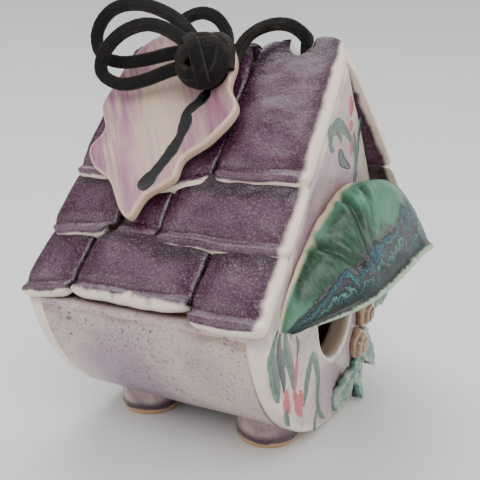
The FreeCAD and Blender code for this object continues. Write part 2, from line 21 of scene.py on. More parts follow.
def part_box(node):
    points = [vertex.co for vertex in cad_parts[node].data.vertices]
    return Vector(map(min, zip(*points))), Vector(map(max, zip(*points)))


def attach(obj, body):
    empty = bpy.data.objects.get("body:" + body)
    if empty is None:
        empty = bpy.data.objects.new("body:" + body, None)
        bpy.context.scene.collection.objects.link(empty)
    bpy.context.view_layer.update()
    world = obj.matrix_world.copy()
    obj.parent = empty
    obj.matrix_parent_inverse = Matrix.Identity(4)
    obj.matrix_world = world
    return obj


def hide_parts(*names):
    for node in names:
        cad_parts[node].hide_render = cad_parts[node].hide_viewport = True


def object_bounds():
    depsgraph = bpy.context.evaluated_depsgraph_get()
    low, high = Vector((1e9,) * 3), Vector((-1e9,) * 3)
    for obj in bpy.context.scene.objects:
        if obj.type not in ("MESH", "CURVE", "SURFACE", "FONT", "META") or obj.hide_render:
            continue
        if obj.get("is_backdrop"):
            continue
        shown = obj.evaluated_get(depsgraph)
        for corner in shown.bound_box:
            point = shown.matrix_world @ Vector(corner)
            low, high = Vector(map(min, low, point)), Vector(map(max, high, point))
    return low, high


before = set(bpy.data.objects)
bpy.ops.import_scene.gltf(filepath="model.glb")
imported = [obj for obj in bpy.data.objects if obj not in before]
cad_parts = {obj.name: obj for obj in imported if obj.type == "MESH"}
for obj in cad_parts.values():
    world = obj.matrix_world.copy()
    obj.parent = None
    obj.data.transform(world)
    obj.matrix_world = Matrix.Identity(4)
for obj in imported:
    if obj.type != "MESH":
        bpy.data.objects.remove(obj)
CAD_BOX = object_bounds()

MM = 0.001
LOG = logging.getLogger("birdhouse")
Colour = tuple[float, float, float, float]
Number = "Value | float"

ROOF_RUN = 67.6 * MM
ROOF_RISE = 82.6 * MM
ROOF_SLOPE = math.hypot(ROOF_RUN, ROOF_RISE)
GLAZE_OUTPUTS = (("Color", "Color"), ("Roughness", "Float"), ("Height", "Float"))
TAG_DOWN = Vector((-0.5666, 0.0, -0.8240))
TAG_NORMAL = Vector((-0.8238, 0.0, 0.5669))


class Side(Enum):
    """The two slopes of the roof, with the sign of their x."""

    LEFT = -1
    RIGHT = 1


class Body(Enum):
    """Bodies of the frame that pieces ride on."""

    HOUSE = "house"
    STOPPER = "stopper"
    HANGER = "hanger"
    TAG = "tag"


class Slot(Enum):
    """Names of kinds of material."""

    BODY = "body_glaze"
    ROOF = "roof_glaze"
    FOOT = "foot_glaze"
    HOOD = "hood_glaze"
    ROSE = "rose_glaze"
    LEAF = "leaf_glaze"
    CORK = "stopper_cork"
    TAG = "tag_glaze"
    LACE = "lace_leather"


# ---------------------------------------------------------------- small helpers
def tint(code: str, depth: float = 1.5) -> Colour:
    """Linear colour of a hexadecimal display colour.

    Args:
        code: six hexadecimal digits.
        depth: power that deepens the colour, as a thick glaze does.

    Returns:
        Linear red, green, blue and an alpha of one.
    """
    channels = [int(code[place:place + 2], 16) / 255 for place in (0, 2, 4)]
    linear = [c / 12.92 if c <= 0.04045 else ((c + 0.055) / 1.055) ** 2.4 for c in channels]
    return (linear[0] ** depth, linear[1] ** depth, linear[2] ** depth, 1.0)


def smooth(value: float) -> float:
    """Smooth step of a value between 0 and 1, flat outside that range."""
    t = min(max(value, 0.0), 1.0)
    return t * t * (3 - 2 * t)


def mix(first: float, second: float, share: float) -> float:
    """Number between two others, at a share of the way."""
    return first + (second - first) * share


def ripple(x: float, y: float, z: float, size: float, seed: float = 0.0) -> float:
    """Smooth noise from -1 to 1 at a point, with waves about as long as size."""
    return noise.noise(Vector((x / size + seed, y / size - seed, z / size + 3.7 * seed)))


def eased(count: int, squeeze: float = 0.1) -> list[float]:
    """Numbers from 0 to 1, closer together near both ends."""
    steps = [index / (count - 1) for index in range(count)]
    return [t - squeeze * math.sin(math.tau * t) for t in steps]


def rounding(distance: float, radius: float) -> float:
    """How far an edge of that radius has dropped, at a distance inside its outline."""
    if distance >= radius:
        return 0.0
    reach = 1 - max(distance, 0.0) / radius
    return radius * (1 - math.sqrt(1 - reach * reach))


def curve_through(points: Sequence[Sequence[float]], steps: int) -> list[tuple[float, ...]]:
    """Smooth row of points through control points of any dimension.

    Args:
        points: control points.
        steps: samples from one control point to the next.

    Returns:
        Samples of a Catmull-Rom curve, both ends included.
    """
    ends = [points[0], *points, points[-1]]
    row = []
    for index in range(1, len(ends) - 2):
        p0, p1, p2, p3 = ends[index - 1:index + 3]
        for step in range(steps):
            t = step / steps
            row.append(tuple(
                0.5 * (2 * b + (c - a) * t + (2 * a - 5 * b + 4 * c - d) * t * t
                       + (3 * b - a - 3 * c + d) * t ** 3) for a, b, c, d in zip(p0, p1, p2, p3)))
    row.append(tuple(points[-1]))
    return row


def turns(count: int) -> list[float]:
    """Angles at even steps round a full turn."""
    return [math.tau * step / count for step in range(count)]


def heading(row: Sequence[Vector], index: int) -> Vector:
    """Direction of a row of points at one of them."""
    return (row[min(index + 1, len(row) - 1)] - row[max(index - 1, 0)]).normalized()


def square_to(way: Vector, along: Vector) -> Vector:
    """Part of a direction that is square to another one."""
    return way - along * way.dot(along)


def link(name: str, data: Any) -> bpy.types.Object:
    """New object of the scene that carries some data."""
    made = bpy.data.objects.new(name, data)
    bpy.context.scene.collection.objects.link(made)
    return made


def evaluated_mesh(thing: bpy.types.Object) -> bpy.types.Mesh:
    """Plain mesh of an object as its modifiers or its curve leave it."""
    graph = bpy.context.evaluated_depsgraph_get()
    graph.update()
    return bpy.data.meshes.new_from_object(thing.evaluated_get(graph), depsgraph=graph)


def volume_sign(points: Sequence[Vector], faces: Sequence[Sequence[int]]) -> float:
    """Signed volume of a closed shell: positive where its faces point outwards."""
    total = 0.0
    for face in faces:
        first = points[face[0]]
        for second, third in zip(face[1:], face[2:]):
            total += first.dot(points[second].cross(points[third]))
    return total


def mesh_object(name: str, points: Sequence[Vector], faces: Sequence[Sequence[int]],
                marks: dict[str, Sequence[float]] | None = None) -> bpy.types.Object:
    """Smooth-shaded object of a closed shell, its faces pointing outwards.

    Args:
        name: name of the object and its mesh.
        points: vertices in the frame.
        faces: vertex numbers of each face.
        marks: named numbers, one for each vertex, that materials read.

    Returns:
        The new object.
    """
    outward = faces if volume_sign(points, faces) > 0 else [tuple(reversed(face)) for face in faces]
    mesh = bpy.data.meshes.new(name)
    mesh.from_pydata([tuple(point) for point in points], [], [tuple(face) for face in outward])
    for mark, values in (marks or {}).items():
        layer = mesh.attributes.new(mark, "FLOAT", "POINT")
        layer.data.foreach_set("value", [float(value) for value in values])
    mesh.polygons.foreach_set("use_smooth", [True] * len(mesh.polygons))
    mesh.update()
    return link(name, mesh)


def grid_faces(rows: int, columns: int, wrap_rows: bool, wrap_columns: bool,
               start: int = 0) -> list[tuple[int, ...]]:
    """Quads of a grid of vertices numbered row by row.

    Args:
        rows: number of rows.
        columns: vertices in each row.
        wrap_rows: the last row joins the first one.
        wrap_columns: the last column joins the first one.
        start: number of the grid's first vertex.

    Returns:
        Vertex numbers of each quad.
    """
    faces = []
    for row in range(rows if wrap_rows else rows - 1):
        below = (row + 1) % rows
        for column in range(columns if wrap_columns else columns - 1):
            beside = (column + 1) % columns
            faces.append((start + row * columns + column, start + row * columns + beside,
                          start + below * columns + beside, start + below * columns + column))
    return faces


@dataclass
class Shell:
    """Vertices, faces and marks that grow into one mesh."""

    points: list[Vector] = field(default_factory=list)
    faces: list[tuple[int, ...]] = field(default_factory=list)
    marks: dict[str, list[float]] = field(default_factory=dict)

    def add_grid(self, rows: Sequence[Sequence[Vector]], marks: dict[str, Sequence[Sequence[float]]],
                 wrap_rows: bool = True, wrap_columns: bool = True, cap: bool = False) -> None:
        """Add a closed grid of points.

        Args:
            rows: points, row by row.
            marks: named numbers in the same rows.
            wrap_rows: join the last row to the first one.
            wrap_columns: join the last column to the first one.
            cap: close the first and the last row with a face each.
        """
        start = len(self.points)
        columns = len(rows[0])
        flat = [point for row in rows for point in row]
        faces = grid_faces(len(rows), columns, wrap_rows, wrap_columns)
        if cap:
            last = len(flat) - columns
            faces.append(tuple(reversed(range(columns))))
            faces.append(tuple(range(last, last + columns)))
        if volume_sign(flat, faces) < 0:
            faces = [tuple(reversed(face)) for face in faces]
        self.points += flat
        self.faces += [tuple(number + start for number in face) for face in faces]
        for name, values in marks.items():
            self.marks.setdefault(name, []).extend(value for row in values for value in row)

    def build(self, name: str) -> bpy.types.Object:
        """Object of the whole shell."""
        return mesh_object(name, self.points, self.faces, self.marks)


# ---------------------------------------------------------------- node trees
class Value:
    """Output socket of a node tree, with arithmetic that adds Math nodes."""

    def __init__(self, graph: "Graph", socket: bpy.types.NodeSocket) -> None:
        """Keep the tree and the socket."""
        self.graph = graph
        self.socket = socket

    def __add__(self, other: Number) -> "Value":
        """Sum."""
        return self.graph.math("ADD", self, other)

    def __radd__(self, other: float) -> "Value":
        """Sum with a number on the left."""
        return self.graph.math("ADD", other, self)

    def __sub__(self, other: Number) -> "Value":
        """Difference."""
        return self.graph.math("SUBTRACT", self, other)

    def __rsub__(self, other: float) -> "Value":
        """Difference from a number."""
        return self.graph.math("SUBTRACT", other, self)

    def __mul__(self, other: Number) -> "Value":
        """Product."""
        return self.graph.math("MULTIPLY", self, other)

    def __rmul__(self, other: float) -> "Value":
        """Product with a number on the left."""
        return self.graph.math("MULTIPLY", other, self)

    def __truediv__(self, other: Number) -> "Value":
        """Quotient."""
        return self.graph.math("DIVIDE", self, other)

    def __pow__(self, other: Number) -> "Value":
        """Power."""
        return self.graph.math("POWER", self, other)


class Graph:
    """Node tree under construction."""

    entry: Any
    exit: Any

    def __init__(self, tree: bpy.types.NodeTree) -> None:
        """Keep the tree."""
        self.tree = tree

    def open_ends(self) -> None:
        """Add the nodes that hold a group's inputs and outputs."""
        self.entry = self.node("NodeGroupInput")
        self.exit = self.node("NodeGroupOutput")

    def feed(self, socket: bpy.types.NodeSocket, value: Any) -> None:
        """Link a value to a socket, or set the socket's own value."""
        if isinstance(value, Value):
            self.tree.links.new(value.socket, socket)
        else:
            socket.default_value = value

    def node(self, kind: str, settings: dict[str, Any] | None = None,
             inputs: dict[Any, Any] | None = None) -> Any:
        """Add a node.

        Args:
            kind: the node's type.
            settings: properties to set on it.
            inputs: values by socket number or by the name of a socket in use.

        Returns:
            The node.
        """
        made = self.tree.nodes.new(kind)
        for key, value in (settings or {}).items():
            setattr(made, key, value)
        for key, value in (inputs or {}).items():
            if isinstance(key, int):
                socket = made.inputs[key]
            else:
                socket = next(item for item in made.inputs if item.name == key and item.enabled)
            self.feed(socket, value)
        return made

    def out(self, node: Any, key: int | str = 0) -> Value:
        """Output of a node, by number or by the name of a socket in use."""
        if isinstance(key, int):
            return Value(self, node.outputs[key])
        return Value(self, next(item for item in node.outputs if item.name == key and item.enabled))

    def given(self, label: str) -> Value:
        """Value of one of the tree's named inputs."""
        return self.out(self.entry, label)

    def math(self, operation: str, *operands: Number) -> Value:
        """Math node."""
        return self.out(self.node("ShaderNodeMath", {"operation": operation}, dict(enumerate(operands))))

    def vector(self, operation: str, *operands: Any) -> Value:
        """Vector Math node."""
        made = self.node("ShaderNodeVectorMath", {"operation": operation})
        for index, operand in enumerate(operands):
            place = "Scale" if operation == "SCALE" and index == 1 else index
            self.feed(made.inputs[place], operand)
        return self.out(made, 1 if operation in ("LENGTH", "DOT_PRODUCT", "DISTANCE") else 0)

    def ramp(self, value: Number, low: Number, high: Number, start: Number = 0.0, end: Number = 1.0) -> Value:
        """Smooth Map Range, clamped at both ends."""
        made = self.node("ShaderNodeMapRange", {"interpolation_type": "SMOOTHSTEP"},
                         {0: value, 1: low, 2: high, 3: start, 4: end})
        return self.out(made)

    def noise(self, place: Value, scale: Number, detail: float = 3.0, twist: Number = 0.0,
              seed: Number = 0.0) -> Value:
        """Noise from 0 to 1."""
        made = self.node("ShaderNodeTexNoise", {"noise_dimensions": "4D"},
                         {"Vector": place, "W": seed, "Scale": scale, "Detail": detail, "Distortion": twist})
        return self.out(made)

    def xyz(self, place: Value) -> tuple[Value, Value, Value]:
        """The three numbers of a vector."""
        made = self.node("ShaderNodeSeparateXYZ", None, {0: place})
        return self.out(made, 0), self.out(made, 1), self.out(made, 2)

    def combine(self, x: Number, y: Number, z: Number) -> Value:
        """Vector of three numbers."""
        return self.out(self.node("ShaderNodeCombineXYZ", None, {0: x, 1: y, 2: z}))

    def blend(self, share: Number, first: Any, second: Any, mode: str = "MIX") -> Value:
        """Mix of two colours."""
        made = self.node("ShaderNodeMix", {"data_type": "RGBA", "blend_type": mode, "clamp_factor": True},
                         {0: share, 6: first, 7: second})
        return self.out(made, 2)

    def bands(self, value: Number, stops: Sequence[tuple[float, Colour]], constant: bool = False) -> Value:
        """Colour ramp with stops of place and colour."""
        made = self.node("ShaderNodeValToRGB", None, {0: value})
        ramp = made.color_ramp
        ramp.interpolation = "CONSTANT" if constant else "LINEAR"
        while len(ramp.elements) < len(stops):
            ramp.elements.new(0.5)
        for element, (place, colour) in zip(ramp.elements, stops):
            element.position = place
            element.color = colour
        return self.out(made)


class ShaderGroup(Graph):
    """Shader node group with named inputs and outputs."""

    def __init__(self, name: str, inputs: Sequence[tuple[str, str, Any]],
                 outputs: Sequence[tuple[str, str]]) -> None:
        """Make the group and its sockets.

        Args:
            name: the group's name.
            inputs: name, kind of socket and default of each input.
            outputs: name and kind of socket of each output.
        """
        super().__init__(bpy.data.node_groups.new(name, "ShaderNodeTree"))
        for label, kind, default in inputs:
            socket = self.tree.interface.new_socket(label, in_out="INPUT", socket_type="NodeSocket" + kind)
            if default is not None:
                socket.default_value = default
        for label, kind in outputs:
            self.tree.interface.new_socket(label, in_out="OUTPUT", socket_type="NodeSocket" + kind)
        self.open_ends()

    def give(self, label: str, value: Any) -> None:
        """Feed a named output."""
        self.feed(self.exit.inputs[label], value)


class Material(Graph):
    """Material with one Principled BSDF."""

    def __init__(self, name: str, constants: dict[str, Any]) -> None:
        """Make the material.

        Args:
            name: the material's name.
            constants: values set straight on the shader's sockets.
        """
        self.data = bpy.data.materials.new(name)
        self.data.use_nodes = True
        super().__init__(self.data.node_tree)
        self.tree.nodes.clear()
        self.shader = self.node("ShaderNodeBsdfPrincipled", None, constants)
        exit_node = self.node("ShaderNodeOutputMaterial")
        self.tree.links.new(self.shader.outputs[0], exit_node.inputs[0])
        self.place = self.out(self.node("ShaderNodeTexCoord"), "Object")

    def mark(self, name: str) -> Value:
        """Number that a piece's mesh carries under that name."""
        return self.out(self.node("ShaderNodeAttribute", {"attribute_name": name}), "Fac")

    def group(self, kit: ShaderGroup, **inputs: Any) -> Callable[[str], Value]:
        """Place a node group.

        Args:
            kit: the group.
            inputs: its inputs, with an underscore for each space.

        Returns:
            Function that gives one of its outputs by name.
        """
        made = self.node("ShaderNodeGroup", {"node_tree": kit.tree})
        for label, value in inputs.items():
            self.feed(made.inputs[label.replace("_", " ")], value)
        return lambda label: self.out(made, label)

    def layers(self, colour: Any, *coats: tuple[Number, str]) -> Any:
        """Colour under one coat after another, each of a mask and a hexadecimal colour."""
        for mask, code in coats:
            colour = self.blend(mask, colour, tint(code))
        return colour

    def finish(self, colour: Any, roughness: Any, height: Any = None,
               depth: float = 0.0) -> bpy.types.Material:
        """Feed the shader and give the material.

        Args:
            colour: base colour.
            roughness: roughness that varies over the surface.
            height: relief from 0 to 1.
            depth: full depth of the relief in metres.

        Returns:
            The material.
        """
        self.feed(self.shader.inputs["Base Color"], colour)
        self.feed(self.shader.inputs["Roughness"], roughness)
        if height is not None:
            bump = self.node("ShaderNodeBump", None, {"Strength": 1.0, "Distance": depth, "Height": height})
            self.feed(self.shader.inputs["Normal"], self.out(bump, "Normal"))
        return self.data


# ---------------------------------------------------------------- effects shared by materials
@dataclass
class Effects:
    """Shader node groups, built once and placed in each material with its own values."""

    mottle: ShaderGroup = field(init=False)
    edge: ShaderGroup = field(init=False)
    streaks: ShaderGroup = field(init=False)
    nap: ShaderGroup = field(init=False)

    def __post_init__(self) -> None:
        """Build every group."""
        self.mottle = self.build_mottle()
        self.edge = self.build_edge()
        self.streaks = self.build_streaks()
        self.nap = self.build_nap()

    def glaze(self, paint: Material, colours: tuple[str, str, str], scales: tuple[float, float], share: float,
              gloss: float) -> Callable[[str], Value]:
        """Place the mottle in a material.

        Args:
            paint: the material.
            colours: light, dark and speck colour.
            scales: scale of the clouds and of the specks.
            share: how strong the specks are.
            gloss: roughness in the middle of its range.

        Returns:
            Function that gives one of the mottle's outputs by name.
        """
        light, dark, speck = (tint(code) for code in colours)
        return paint.group(self.mottle, Place=paint.place, Light=light, Dark=dark, Speck=speck,
                           Cloud_scale=scales[0], Speck_scale=scales[1], Speck_share=share, Gloss=gloss)

    def band(self, paint: Material, distance: Value, width: Number, raggedness: float, scale: float) -> Value:
        """Place a ragged band in a material.

        Args:
            paint: the material.
            distance: distance to the edge that the band follows.
            width: how wide the band is.
            raggedness: how uneven the band is.
            scale: scale of the unevenness.

        Returns:
            Mask, 1 at the edge.
        """
        return paint.group(self.edge, Place=paint.place, Distance=distance, Width=width,
                           Raggedness=raggedness, Scale=scale)("Mask")

    def build_mottle(self) -> ShaderGroup:
        """Cloudy glaze of two colours with fine specks.

        Returns:
            Group with the outputs Color, Roughness and Height.
        """
        kit = ShaderGroup("mottled_glaze", [
            ("Place", "Vector", None), ("Light", "Color", None), ("Dark", "Color", None),
            ("Speck", "Color", None), ("Cloud scale", "Float", 30.0), ("Speck scale", "Float", 900.0),
            ("Speck share", "Float", 0.4), ("Gloss", "Float", 0.3)], GLAZE_OUTPUTS)
        place = kit.given("Place")
        clouds = kit.noise(place, kit.given("Cloud scale"), 4.0, 0.5)
        base = kit.blend(kit.ramp(clouds, 0.36, 0.66), kit.given("Light"), kit.given("Dark"))
        grains = kit.noise(place, kit.given("Speck scale"), 2.0, 0.0, 3.0)
        drifts = kit.noise(place, kit.given("Cloud scale") * 2.3, 3.0, 0.4, 7.0)
        share = kit.given("Speck share") * kit.ramp(drifts, 0.3, 0.75, 0.35, 1.0)
        mask = kit.ramp(grains, 0.52, 0.68) * share
        coarse = kit.noise(place, kit.given("Speck scale") * 0.37, 2.0, 0.0, 5.0)
        mask = mask + kit.ramp(coarse, 0.6, 0.7) * share * 0.8
        kit.give("Color", kit.blend(mask, base, kit.given("Speck")))
        kit.give("Roughness", kit.given("Gloss") + kit.ramp(drifts, 0.3, 0.7, -0.07, 0.1) + mask * 0.12)
        kit.give("Height", clouds * 0.5 + grains * 0.22 + coarse * 0.28)
        return kit

    def build_edge(self) -> ShaderGroup:
        """Ragged band along an edge, from the distance to it.

        Returns:
            Group with the output Mask, 1 at the edge.
        """
        kit = ShaderGroup("ragged_edge", [
            ("Place", "Vector", None), ("Distance", "Float", 0.0), ("Width", "Float", 0.002),
            ("Raggedness", "Float", 1.0), ("Scale", "Float", 160.0)], [("Mask", "Float")])
        drift = kit.noise(kit.given("Place"), kit.given("Scale"), 4.0, 0.6, 11.0) - 0.5
        width = kit.given("Width")
        reach = kit.given("Distance") + drift * kit.given("Raggedness") * width * 2.0
        kit.give("Mask", 1.0 - kit.ramp(reach, width * 0.35, width))
        return kit

    def build_streaks(self) -> ShaderGroup:
        """Brush marks drawn out along the y axis of the coordinates that come in.

        Returns:
            Group with the outputs Mask and Height.
        """
        kit = ShaderGroup("brush_streaks", [
            ("Place", "Vector", None), ("Scale", "Float", 200.0), ("Length", "Float", 0.1)],
            [("Mask", "Float"), ("Height", "Float")])
        drawn = kit.vector("MULTIPLY", kit.given("Place"), kit.combine(1.0, kit.given("Length"), 1.0))
        broad = kit.noise(drawn, kit.given("Scale"), 3.0, 0.2, 1.0)
        hairs = kit.noise(drawn, kit.given("Scale") * 3.6, 2.0, 0.1, 2.0)
        kit.give("Mask", kit.ramp(broad * 0.7 + hairs * 0.3, 0.4, 0.62))
        kit.give("Height", broad * 0.4 + hairs * 0.6)
        return kit

    def build_nap(self) -> ShaderGroup:
        """Brushed suede, with a paler cut edge.

        Returns:
            Group with the outputs Color, Roughness and Height.
        """
        kit = ShaderGroup("suede_nap", [
            ("Place", "Vector", None), ("Dark", "Color", None), ("Worn", "Color", None),
            ("Edge", "Float", 0.0), ("Scale", "Float", 1500.0)], GLAZE_OUTPUTS)
        place = kit.given("Place")
        fibres = kit.noise(place, kit.given("Scale"), 3.0, 1.2)
        patches = kit.noise(place, kit.given("Scale") * 0.16, 3.0, 0.4, 4.0)
        worn = kit.ramp(fibres, 0.45, 0.75) * kit.ramp(patches, 0.35, 0.7, 0.35, 1.0)
        cut = kit.ramp(kit.given("Edge"), 0.72, 0.98) * kit.ramp(patches, 0.3, 0.65, 0.3, 1.0)
        kit.give("Color", kit.blend(worn * 0.55 + cut * 0.5, kit.given("Dark"), kit.given("Worn")))
        kit.give("Roughness", 0.78 + fibres * 0.2)
        kit.give("Height", fibres * 0.7 + patches * 0.3)
        return kit


@dataclass(frozen=True)
class ClayGlaze:
    """Pale speckled glaze of the plates and the round body."""

    name: str
    light: str = "e6dcd3"
    dark: str = "c8b6c4"
    speck: str = "8d6f8c"
    pale: str = "efe6d8"
    share: float = 0.42
    gloss: float = 0.34

    def build(self, kit: Effects) -> bpy.types.Material:
        """Material whose edges break to the pale clay colour."""
        paint = Material(self.name, {"Coat Weight": 0.35, "Coat Roughness": 0.16, "IOR": 1.5})
        glaze = kit.glaze(paint, (self.light, self.dark, self.speck),
        (26.0, 1100.0), self.share, self.gloss)
        colour = paint.layers(
            glaze("Color"),
            (kit.band(paint, paint.mark("rim"), 3.2 * MM, 0.9, 120.0) * 0.8, self.pale),
            (kit.band(paint, paint.mark("stain"), 5.0 * MM, 1.3, 70.0) * 0.6, "a3856f"),
            # painted shade: lavender darkening under the hood and just below the roof's front edge
            (kit.band(paint, paint.mark("painted_shade"), 7.0 * MM, 1.0, 60.0) * 0.55, "9c7f9c"))
        return paint.finish(colour, glaze("Roughness"), glaze("Height"), 0.35 * MM)


@dataclass(frozen=True)
class InnerClay:
    """Bare fired clay under the shingles."""

    name: str = "inner_clay"

    def build(self, kit: Effects) -> bpy.types.Material:
        """Matt mottled material."""
        paint = Material(self.name, {"Specular IOR Level": 0.3})
        clay = kit.glaze(paint, ("b09a88", "8d7873", "5d4b4c"), (40.0, 1100.0), 0.5, 0.75)
        return paint.finish(clay("Color"), clay("Roughness"), clay("Height"), 0.3 * MM)


@dataclass(frozen=True)
class RoofGlaze:
    """Plum glaze of the shingles: dark where it pools, with painted shade under each lip and in the joints,
    and cream where it breaks.
    """

    name: str = "plum_roof_glaze"
    middle: str = "755469"
    haze: str = "89707f"
    plum: str = "5e2a4e"
    # colour of the painted shade under the lips and in the joints, where glaze also pools
    painted_shade: str = "3d1530"
    pink: str = "9a8391"
    cream: str = "eee3d6"

    def build(self, kit: Effects) -> bpy.types.Material:
        """Material that reads how far each point is from its shingle's edges."""
        paint = Material(self.name, {"Coat Weight": 0.25, "Coat Roughness": 0.24, "IOR": 1.45})
        place = paint.place
        centre = kit.glaze(paint, (self.middle, self.haze, "4a2440"), (42.0, 1500.0), 0.9, 0.27)
        drift = paint.noise(place, 60.0, 4.0, 0.8, 2.0)
        grain = paint.noise(place, 1700.0, 2.0, 0.0, 21.0)
        rim = paint.mark("rim")
        lip = paint.mark("lip")
        inner = paint.ramp(rim + (drift - 0.5) * (16 * MM), 2.0 * MM, 10.5 * MM)
        blotch = paint.ramp(paint.noise(place, 38.0, 3.0, 0.9, 9.0), 0.5, 0.68)
        pinkish = paint.ramp(paint.noise(place, 75.0, 3.0, 0.6, 13.0), 0.56, 0.74)
        bead = paint.ramp(lip, 0.2 * MM, 1.2 * MM) * (1.0 - paint.ramp(lip, 2.6 * MM, 4.4 * MM))
        joint_shade = 1.0 - paint.ramp(rim, 0.2 * MM, 1.3 * MM)
        colour = paint.layers(
            paint.blend(inner, tint(self.plum), centre("Color")),
            # painted shade under the lip of the course above, where glaze also pools
            (kit.band(paint, paint.mark("head"), 9.0 * MM, 1.0, 70.0) * 0.8, self.painted_shade),
            (blotch * 0.55, self.plum),
            (pinkish * 0.3, self.pink),
            (bead * paint.ramp(drift, 0.35, 0.6, 0.15, 0.5), self.pink),
            # painted shade: dark plum in the grooves between shingles
            (joint_shade * 0.85, self.painted_shade),
            # pale line on each lip's edge: thin glaze where it breaks, and a painted highlight
            (kit.band(paint, lip, 0.8 * MM, 0.9, 160.0) * 0.6, "c3a3b3"),
            (paint.ramp(grain, 0.5, 0.66) * 0.3, "b79fb4"),
            (paint.ramp(grain, 0.34, 0.48, 1.0, 0.0) * 0.35, "40182f"),
            (kit.band(paint, lip, paint.mark("pale"), 1.2, 130.0), self.cream),
            (kit.band(paint, paint.mark("front"), 3.6 * MM, 0.45, 140.0), self.cream))
        return paint.finish(colour, centre("Roughness"), centre("Height"), 0.5 * MM)


@dataclass(frozen=True)
class HoodGlaze:
    """Sea-green hood with deep green patches, a marbled band, a cream root and painted shade in its creases.

    Attributes:
        name: the material's name.
        sea: main green.
        grey: greyer green of the clouds.
        deep: green of the patches.
        cream: colour of the root.
        stripes: colours of the marbled band.
        patches: middle around and down, width, height and strength of each deep patch.
    """

    name: str = "marbled_hood_glaze"
    sea: str = "62977c"
    grey: str = "83a28f"
    deep: str = "1f5239"
    cream: str = "dccfb6"
    stripes: tuple[str, ...] = (
        "15161c", "3f7c86", "1d2129", "5d8f94", "17181f", "6c6166", "2c5a63", "17181e", "7ba39b", "20262c",
        "417f87", "15161c", "1d2a2e", "7a7074", "17181e")
    patches: tuple[tuple[float, float, float, float, float], ...] = (
        (-0.39, 0.46, 0.12, 0.30, 1.0), (-0.61, 0.33, 0.14, 0.32, 1.0), (0.30, 0.45, 0.13, 0.25, 0.9),
        (0.66, 0.4, 0.14, 0.28, 0.8))

    def build(self, kit: Effects) -> bpy.types.Material:
        """Material laid out by the marks around and down the hood."""
        paint = Material(self.name, {"Coat Weight": 0.25, "Coat Roughness": 0.3, "IOR": 1.45})
        place = paint.place
        down = paint.mark("down")
        around = paint.mark("around")
        streak = paint.group(kit.streaks, Place=paint.combine(around * 60.0, down * 30.0, 0.0), Scale=1.1,
                             Length=0.3)
        clouds = paint.noise(place, 55.0, 4.0, 0.7)
        colour = paint.blend(paint.ramp(clouds, 0.4, 0.66), tint(self.sea), tint(self.grey))
        colour = paint.blend(streak("Mask") * 0.3, colour, tint("7aa594"))
        for middle, level, wide, tall, strength in self.patches:
            across = (around - middle) / wide
            along = (down - level) / tall
            reach = (across * across + along * along) ** 0.5 + (clouds - 0.5) * 1.0
            patch = (1.0 - paint.ramp(reach, 0.75, 1.25)) * strength
            deep = paint.blend(streak("Mask") * 0.5, tint(self.deep), tint("4d8664"))
            colour = paint.blend(patch, colour, deep)
        swirl = paint.noise(place, 85.0, 3.0, 1.4, 5.0)
        fine = paint.noise(place, 420.0, 3.0, 1.2, 8.0)
        flow = down * 3.0 + (swirl - 0.5) * 1.7 + (fine - 0.5) * 0.6
        wave = paint.math("FRACT", flow)
        stops = [(index / len(self.stripes), tint(code)) for index, code in enumerate(self.stripes)]
        marble = paint.bands(wave, stops)
        border = down - 0.6 + (swirl - 0.5) * 0.35 + (around + 0.25) * (around + 0.25) * 0.15
        colour = paint.blend(paint.ramp(border, -0.03, 0.07), colour, marble)
        dusk = paint.ramp(down, 0.8, 0.9) * (1.0 - paint.ramp(around, -0.25, 0.15))
        colour = paint.blend(dusk * 0.85, colour, tint("1f3a33"))
        lip = paint.ramp(down + (fine - 0.5) * 0.05, 0.95, 0.975)
        colour = paint.blend(lip, colour, paint.blend(fine, tint("9fc0ab"), tint("c9cfb9")))
        root = 1.0 - paint.ramp(down + (clouds - 0.5) * 0.05, 0.06, 0.12)
        colour = paint.blend(root, colour, tint(self.cream))
        # painted shade: dark green along the creases of the hood
        colour = paint.blend(paint.mark("crease") * 0.75, colour, tint("21403a"))
        height = clouds * 0.4 + fine * 0.25 + streak("Height") * 0.35
        return paint.finish(colour, 0.36 + clouds * 0.2, height, 0.4 * MM)


@dataclass(frozen=True)
class ReliefGlaze:
    """Thin glaze on the relief sprig: pale on what stands out, with painted shade in the hollows and under
    the relief.
    """

    name: str
    high: str
    middle: str
    hollow: str

    def build(self, kit: Effects) -> bpy.types.Material:
        """Material that reads how high each point of the relief stands."""
        paint = Material(self.name, {"Coat Weight": 0.5, "Coat Roughness": 0.16, "IOR": 1.5})
        glaze = kit.glaze(paint, (self.middle, self.high, self.hollow), (160.0, 1500.0), 0.4, 0.3)
        level = paint.mark("level") + (paint.noise(paint.place, 420.0, 3.0) - 0.5) * 0.3
        # painted shade: the hollow colour in the low places and on the undersides
        colour = paint.layers(glaze("Color"), (1.0 - paint.ramp(level, 0.1, 0.45), self.hollow),
                              (paint.ramp(level, 0.72, 0.95), self.high))
        return paint.finish(colour, glaze("Roughness"), glaze("Height"), 0.25 * MM)


